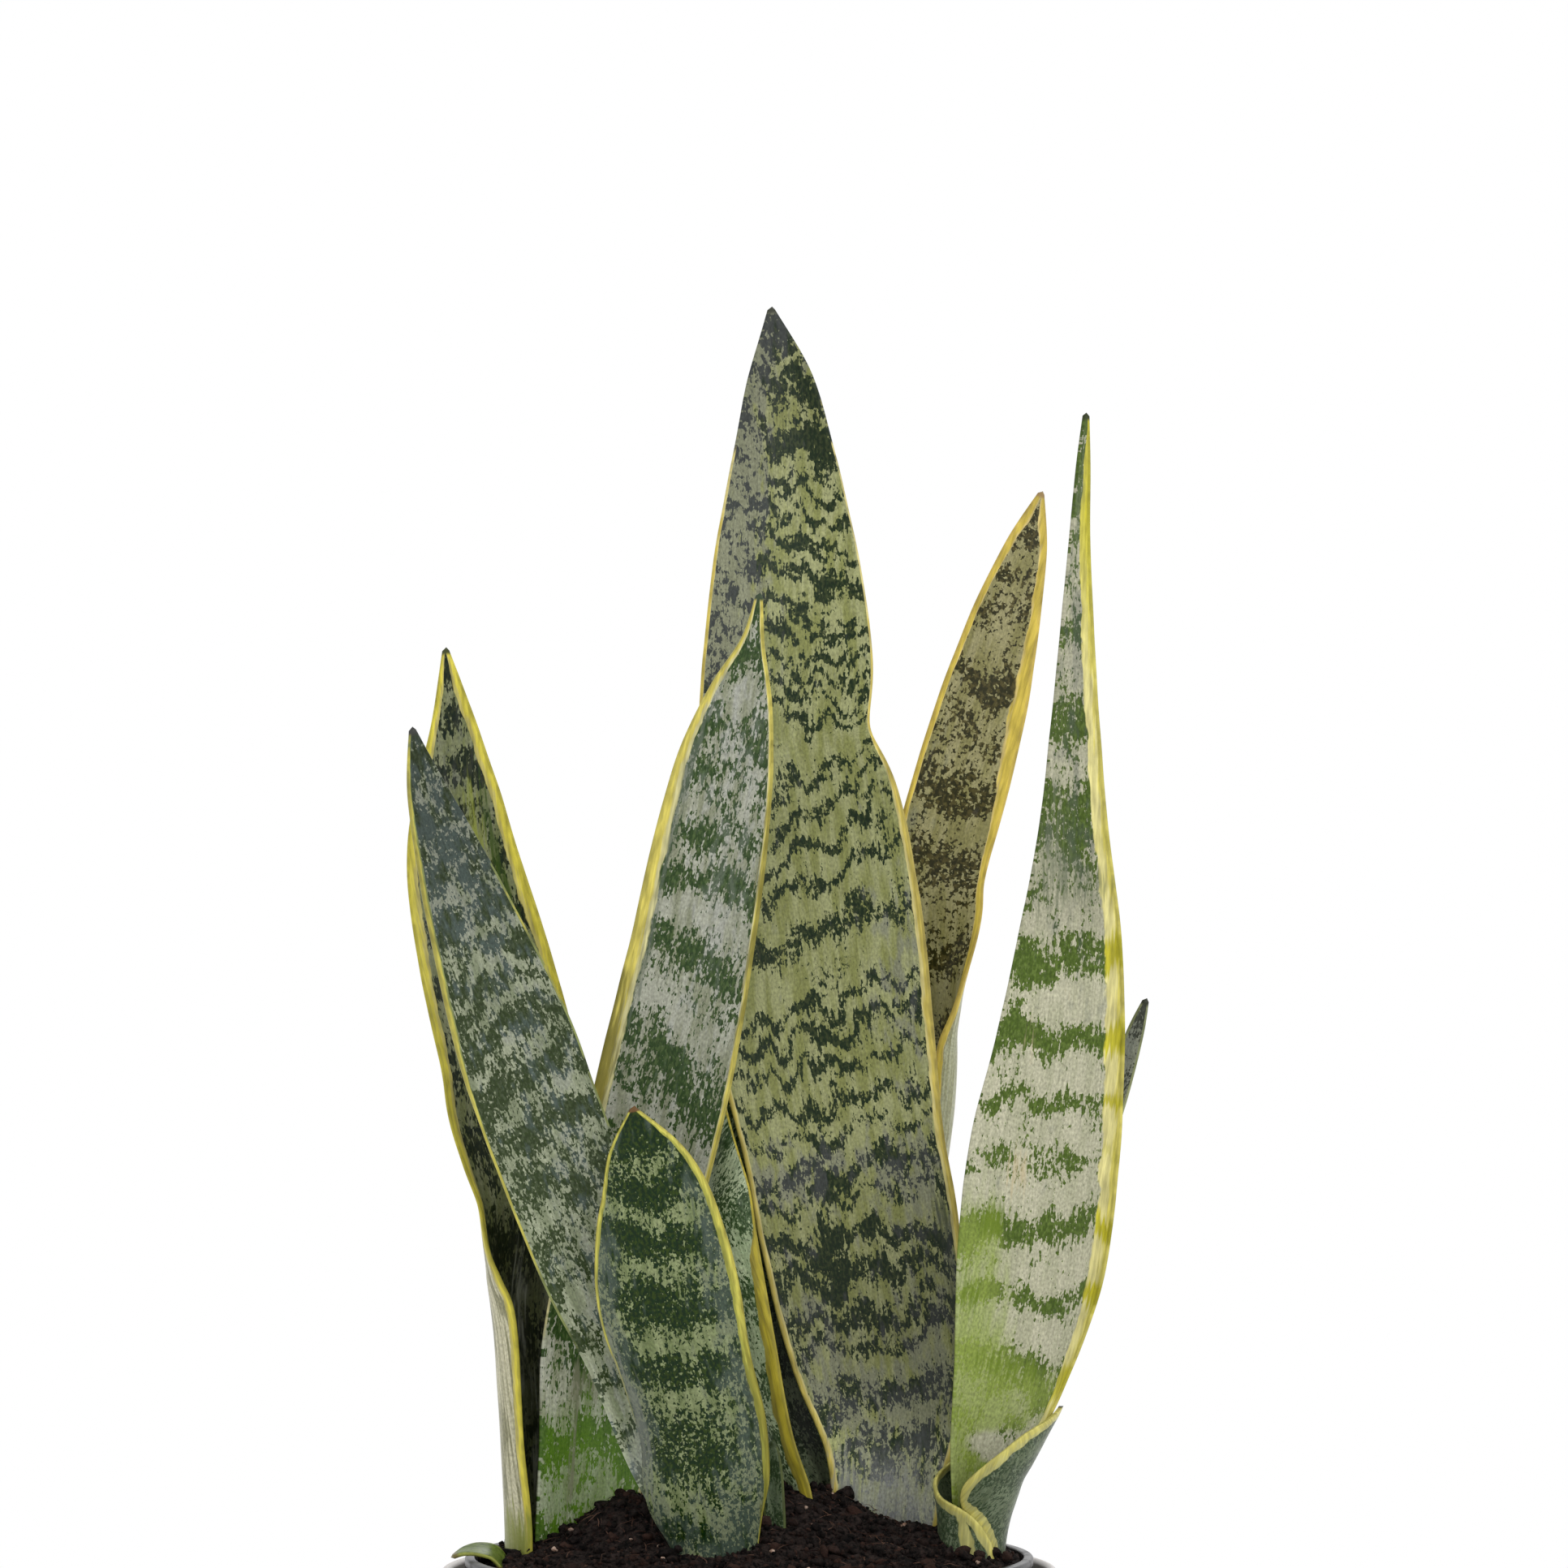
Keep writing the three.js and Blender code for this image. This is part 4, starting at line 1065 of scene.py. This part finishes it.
def speck_mesh():
    rng = random.Random(SEED + 2)
    points, faces = [], []
    for _ in range(SPECKS):
        size = rng.uniform(0.35, 0.85)
        add_bit(points, faces, lump(rng, scattered(rng) + UP * size * 0.8, size, 2))
    return mesh_from("soil_specks", points, faces)


def soil_material(name, loose_bits=False):
    """Peat: where it's made of loose bits, each has a shade of its own."""
    graph = Graph(name)
    place = graph.place()
    coarse = graph.noise(place, 520, 5, 0.7)
    fine = graph.noise(place, 1800, 4, 0.7)
    color = graph.mix(graph.step(coarse, 0.36, 0.64), tone(23, 19, 19), tone(70, 61, 58))
    if loose_bits:
        own, redness, _ = graph.attribute("bit")
        color = graph.over(color, own, 0.75, tone(24, 20, 20))
        color = graph.over(color, graph.step(redness, 0.7, 0.95), 0.75, tone(84, 64, 57))
    rust = graph.step(graph.noise(place, 300, 3, 0.6), 0.56, 0.68)
    color = graph.over(color, rust, 0.5, tone(74, 55, 49))
    color = graph.over(color, graph.step(fine, 0.6, 0.72), 0.5, tone(108, 92, 84))
    graph.bump(graph.plus(coarse, graph.times(fine, 0.6)), 1.2 * MM)
    return graph.finish(color, graph.scaled(fine, 0.2, 0.78), Specular_IOR_Level=0.12)


def fibre_material():
    graph = Graph("soil_fibre_material")
    place = graph.place()
    part = graph.step(graph.noise(place, 90, 1), 0.4, 0.62)
    grain = graph.noise(place, 2200, 2)
    graph.bump(grain, 0.1 * MM, 0.5)
    color = graph.mix(part, tone(40, 31, 28), tone(108, 84, 72))
    return graph.finish(color, graph.scaled(grain, 0.2, 0.7), Specular_IOR_Level=0.15)


def speck_material():
    graph = Graph("soil_speck_material")
    place = graph.place()
    part = graph.noise(place, 700, 3)
    color = graph.mix(graph.step(part, 0.35, 0.65), tone(196, 170, 152), tone(126, 92, 72))
    graph.bump(graph.noise(place, 2600, 3), 0.15 * MM, 0.6)
    return graph.finish(color, graph.scaled(part, 0.2, 0.6))


def make_soil():
    new_piece("soil_body", soil_mesh(), soil_material("soil_material"), "potting_soil", "soil")
    crumbs = soil_material("soil_crumb_material", loose_bits=True)
    bits = ((crumb_mesh(), crumbs), (fibre_mesh(), fibre_material()), (speck_mesh(), speck_material()))
    for mesh, material in bits:
        new_piece(mesh.name, mesh, material, "potting_soil")


# ---- Pots ----
AROUND_POT = 256
# In mm: radii of the rims, necks and feet; the foot of the cover pot is rounded, and hollow below.
COVER = {"height": 150, "rim": 85, "foot": 63, "wall": 2.8, "floor": 3.5, "round": 4, "hollow": 0.6}
NURSERY = {"height": 153.5, "rim": 78.3, "band": 76.9, "neck": 73.9, "foot": 54.7, "wall": 1.3, "floor": 1.6}
NURSERY_HEIGHTS = {"foot": 3.85, "neck": 128, "band": 131.2}
DRAIN_HOLES = {"count": 6, "size": 5, "ring": 36, "depth": 8}  # size and ring are radii


def arc(radius, height, size, start, end, steps):
    """Points of a profile on an arc round (radius, height), from one angle to another, in degrees."""
    angles = [radians(lerp(start, end, i / steps)) for i in range(steps + 1)]
    return [(radius + size * cos(angle), height + size * sin(angle)) for angle in angles]


def turned_mesh(name, profile):
    """A profile of (radius, height), which starts and ends on the axis, turned round the z axis."""
    points = [Vector((0, 0, profile[0][1]))]
    for radius, height in profile[1:-1]:
        points += [Vector((x, y, height)) for x, y in circle(radius, AROUND_POT)]
    points.append(Vector((0, 0, profile[-1][1])))
    return mesh_from(name, points, turned(len(profile) - 2, AROUND_POT))


def with_holes(mesh):
    """The mesh with the drain holes cut through its floor."""
    d = DRAIN_HOLES
    body = bmesh.new()
    for k in range(d["count"]):
        angle = 2 * pi * k / d["count"]
        spot = Vector((d["ring"] * cos(angle), d["ring"] * sin(angle), NURSERY_HEIGHTS["foot"])) * MM
        size = {"radius1": d["size"] * MM, "radius2": d["size"] * MM, "depth": d["depth"] * MM}
        bmesh.ops.create_cone(body, cap_ends=True, segments=32, matrix=Matrix.Translation(spot), **size)
    cutter_mesh = bpy.data.meshes.new("drain_holes")
    body.to_mesh(cutter_mesh)
    body.free()
    pot, cutter = add_object("pot", mesh), add_object("cutter", cutter_mesh)
    cut = pot.modifiers.new("holes", "BOOLEAN")
    cut.operation = "DIFFERENCE"
    cut.object = cutter
    cut.solver = "EXACT"
    view = bpy.context.evaluated_depsgraph_get()
    result = bpy.data.meshes.new_from_object(pot.evaluated_get(view))
    for item in (pot, cutter):
        bpy.data.objects.remove(item)
    return result


def cover_material():
    graph = Graph("cover_pot_material")
    place = graph.place()
    broad = graph.noise(place, 14, 3)
    fine = graph.noise(place, 900, 3, 0.6)
    color = graph.mix(broad, tone(222, 217, 213), tone(214, 208, 203))
    color = graph.over(color, graph.step(fine, 0.6, 0.75), 0.12, tone(170, 162, 156))
    graph.bump(fine, 0.06 * MM, 0.4)
    return graph.finish(color, graph.scaled(broad, 0.12, 0.34))


def nursery_material():
    graph = Graph("nursery_pot_material")
    place = graph.place()
    fine = graph.noise(place, 1300, 3, 0.6)
    dust = graph.step(graph.noise(place, 160, 4, 0.65), 0.52, 0.75)
    color = graph.over(graph.mix(fine, tone(22, 22, 25), tone(32, 32, 35)), dust, 0.4, tone(58, 50, 46))
    graph.bump(fine, 0.08 * MM, 0.5)
    return graph.finish(color, graph.scaled(dust, 0.3, 0.34))


def make_cover_pot():
    height, rim, foot, wall, floor, rounded, hollow = COVER.values()
    lip = wall / 2
    inner = foot - wall
    profile = [
        (0, hollow),
        (foot - 9, hollow),
        (foot - 8, 0),
        *arc(foot - rounded, rounded, rounded, -90, -8, 10),
        *arc(rim - lip, height - lip, lip, -8, 188, 20),
        *arc(inner - 2, floor + 2, 2, -8, -90, 5),
        (0, floor),
    ]
    mesh = turned_mesh("cover_pot_body", profile)
    new_piece("cover_pot_body", mesh, cover_material(), "cover_pot_plastic", "cover_pot")


def make_nursery_pot():
    top, rim, band, neck, foot, wall, floor = NURSERY.values()
    bottom, neck_height, band_height = NURSERY_HEIGHTS.values()
    floor_height = bottom + floor
    profile = [
        (0, bottom),
        *arc(foot - 1, bottom + 1, 1, -90, -8, 4),
        (neck, neck_height),
        *arc(band - 1, band_height + 0.2, 1, -35, 0, 3),
        (band, top - 3),
        *arc(rim - 0.5, top - 2.1, 0.5, -80, 0, 4),
        *arc(rim - 0.8, top - 0.8, 0.8, 0, 90, 5),
        *arc(band - wall + 0.5, top - 0.5, 0.5, 90, 180, 4),
        (band - wall, band_height),
        (neck - wall, neck_height),
        *arc(foot - wall - 1, floor_height + 1, 1, -8, -90, 4),
        (0, floor_height),
    ]
    mesh = with_holes(turned_mesh("nursery_pot_body", profile))
    new_piece("nursery_pot_body", mesh, nursery_material(), "nursery_pot_plastic", "nursery_pot")


# ---- Stage ----
FLOOR_RADIUS = 1.25
AIM = Vector((0, 0, 0.28))
LIGHTS = [  # name, place, size, power
    ("key", (1.5, -1.7, 1.5), 1.4, 16),
    ("fill", (-1.8, -1.2, 0.9), 1.6, 5),
    ("back", (0.6, 1.9, 1.6), 1.4, 8),
]


def make_stage():
    body = bmesh.new()
    bmesh.ops.create_circle(body, cap_ends=True, radius=FLOOR_RADIUS, segments=96)
    mesh = bpy.data.meshes.new("floor")
    body.to_mesh(mesh)
    body.free()
    graph = Graph("floor_material")
    place = graph.place()
    length = graph.node("ShaderNodeVectorMath", {0: place}, operation="LENGTH").outputs["Value"]
    color = graph.mix(graph.noise(place, 3), tone(236, 235, 233, 1), tone(240, 239, 238, 1))
    graph.put(graph.shader.inputs["Alpha"], graph.step(length, FLOOR_RADIUS * 0.98, FLOOR_RADIUS * 0.5))
    mesh.materials.append(graph.finish(color, 0.6))
    floor = add_object("floor", mesh)

    world = bpy.data.worlds.new("studio")
    world.use_nodes = True
    background = world.node_tree.nodes["Background"]
    background.inputs[0].default_value = (1, 1, 1, 1)
    background.inputs[1].default_value = 1.0
    bpy.context.scene.world = world
    for name, place, size, power in LIGHTS:
        data = bpy.data.lights.new(name, "AREA")
        data.size = size
        data.energy = power
        light = add_object(name, data, place)
        light.rotation_euler = (AIM - Vector(place)).to_track_quat("-Z", "Y").to_euler()
    bpy.context.scene.view_settings.view_transform = "Standard"


make_camera()
make_cover_pot()
make_nursery_pot()
make_soil()
make_leaves()
make_stage()
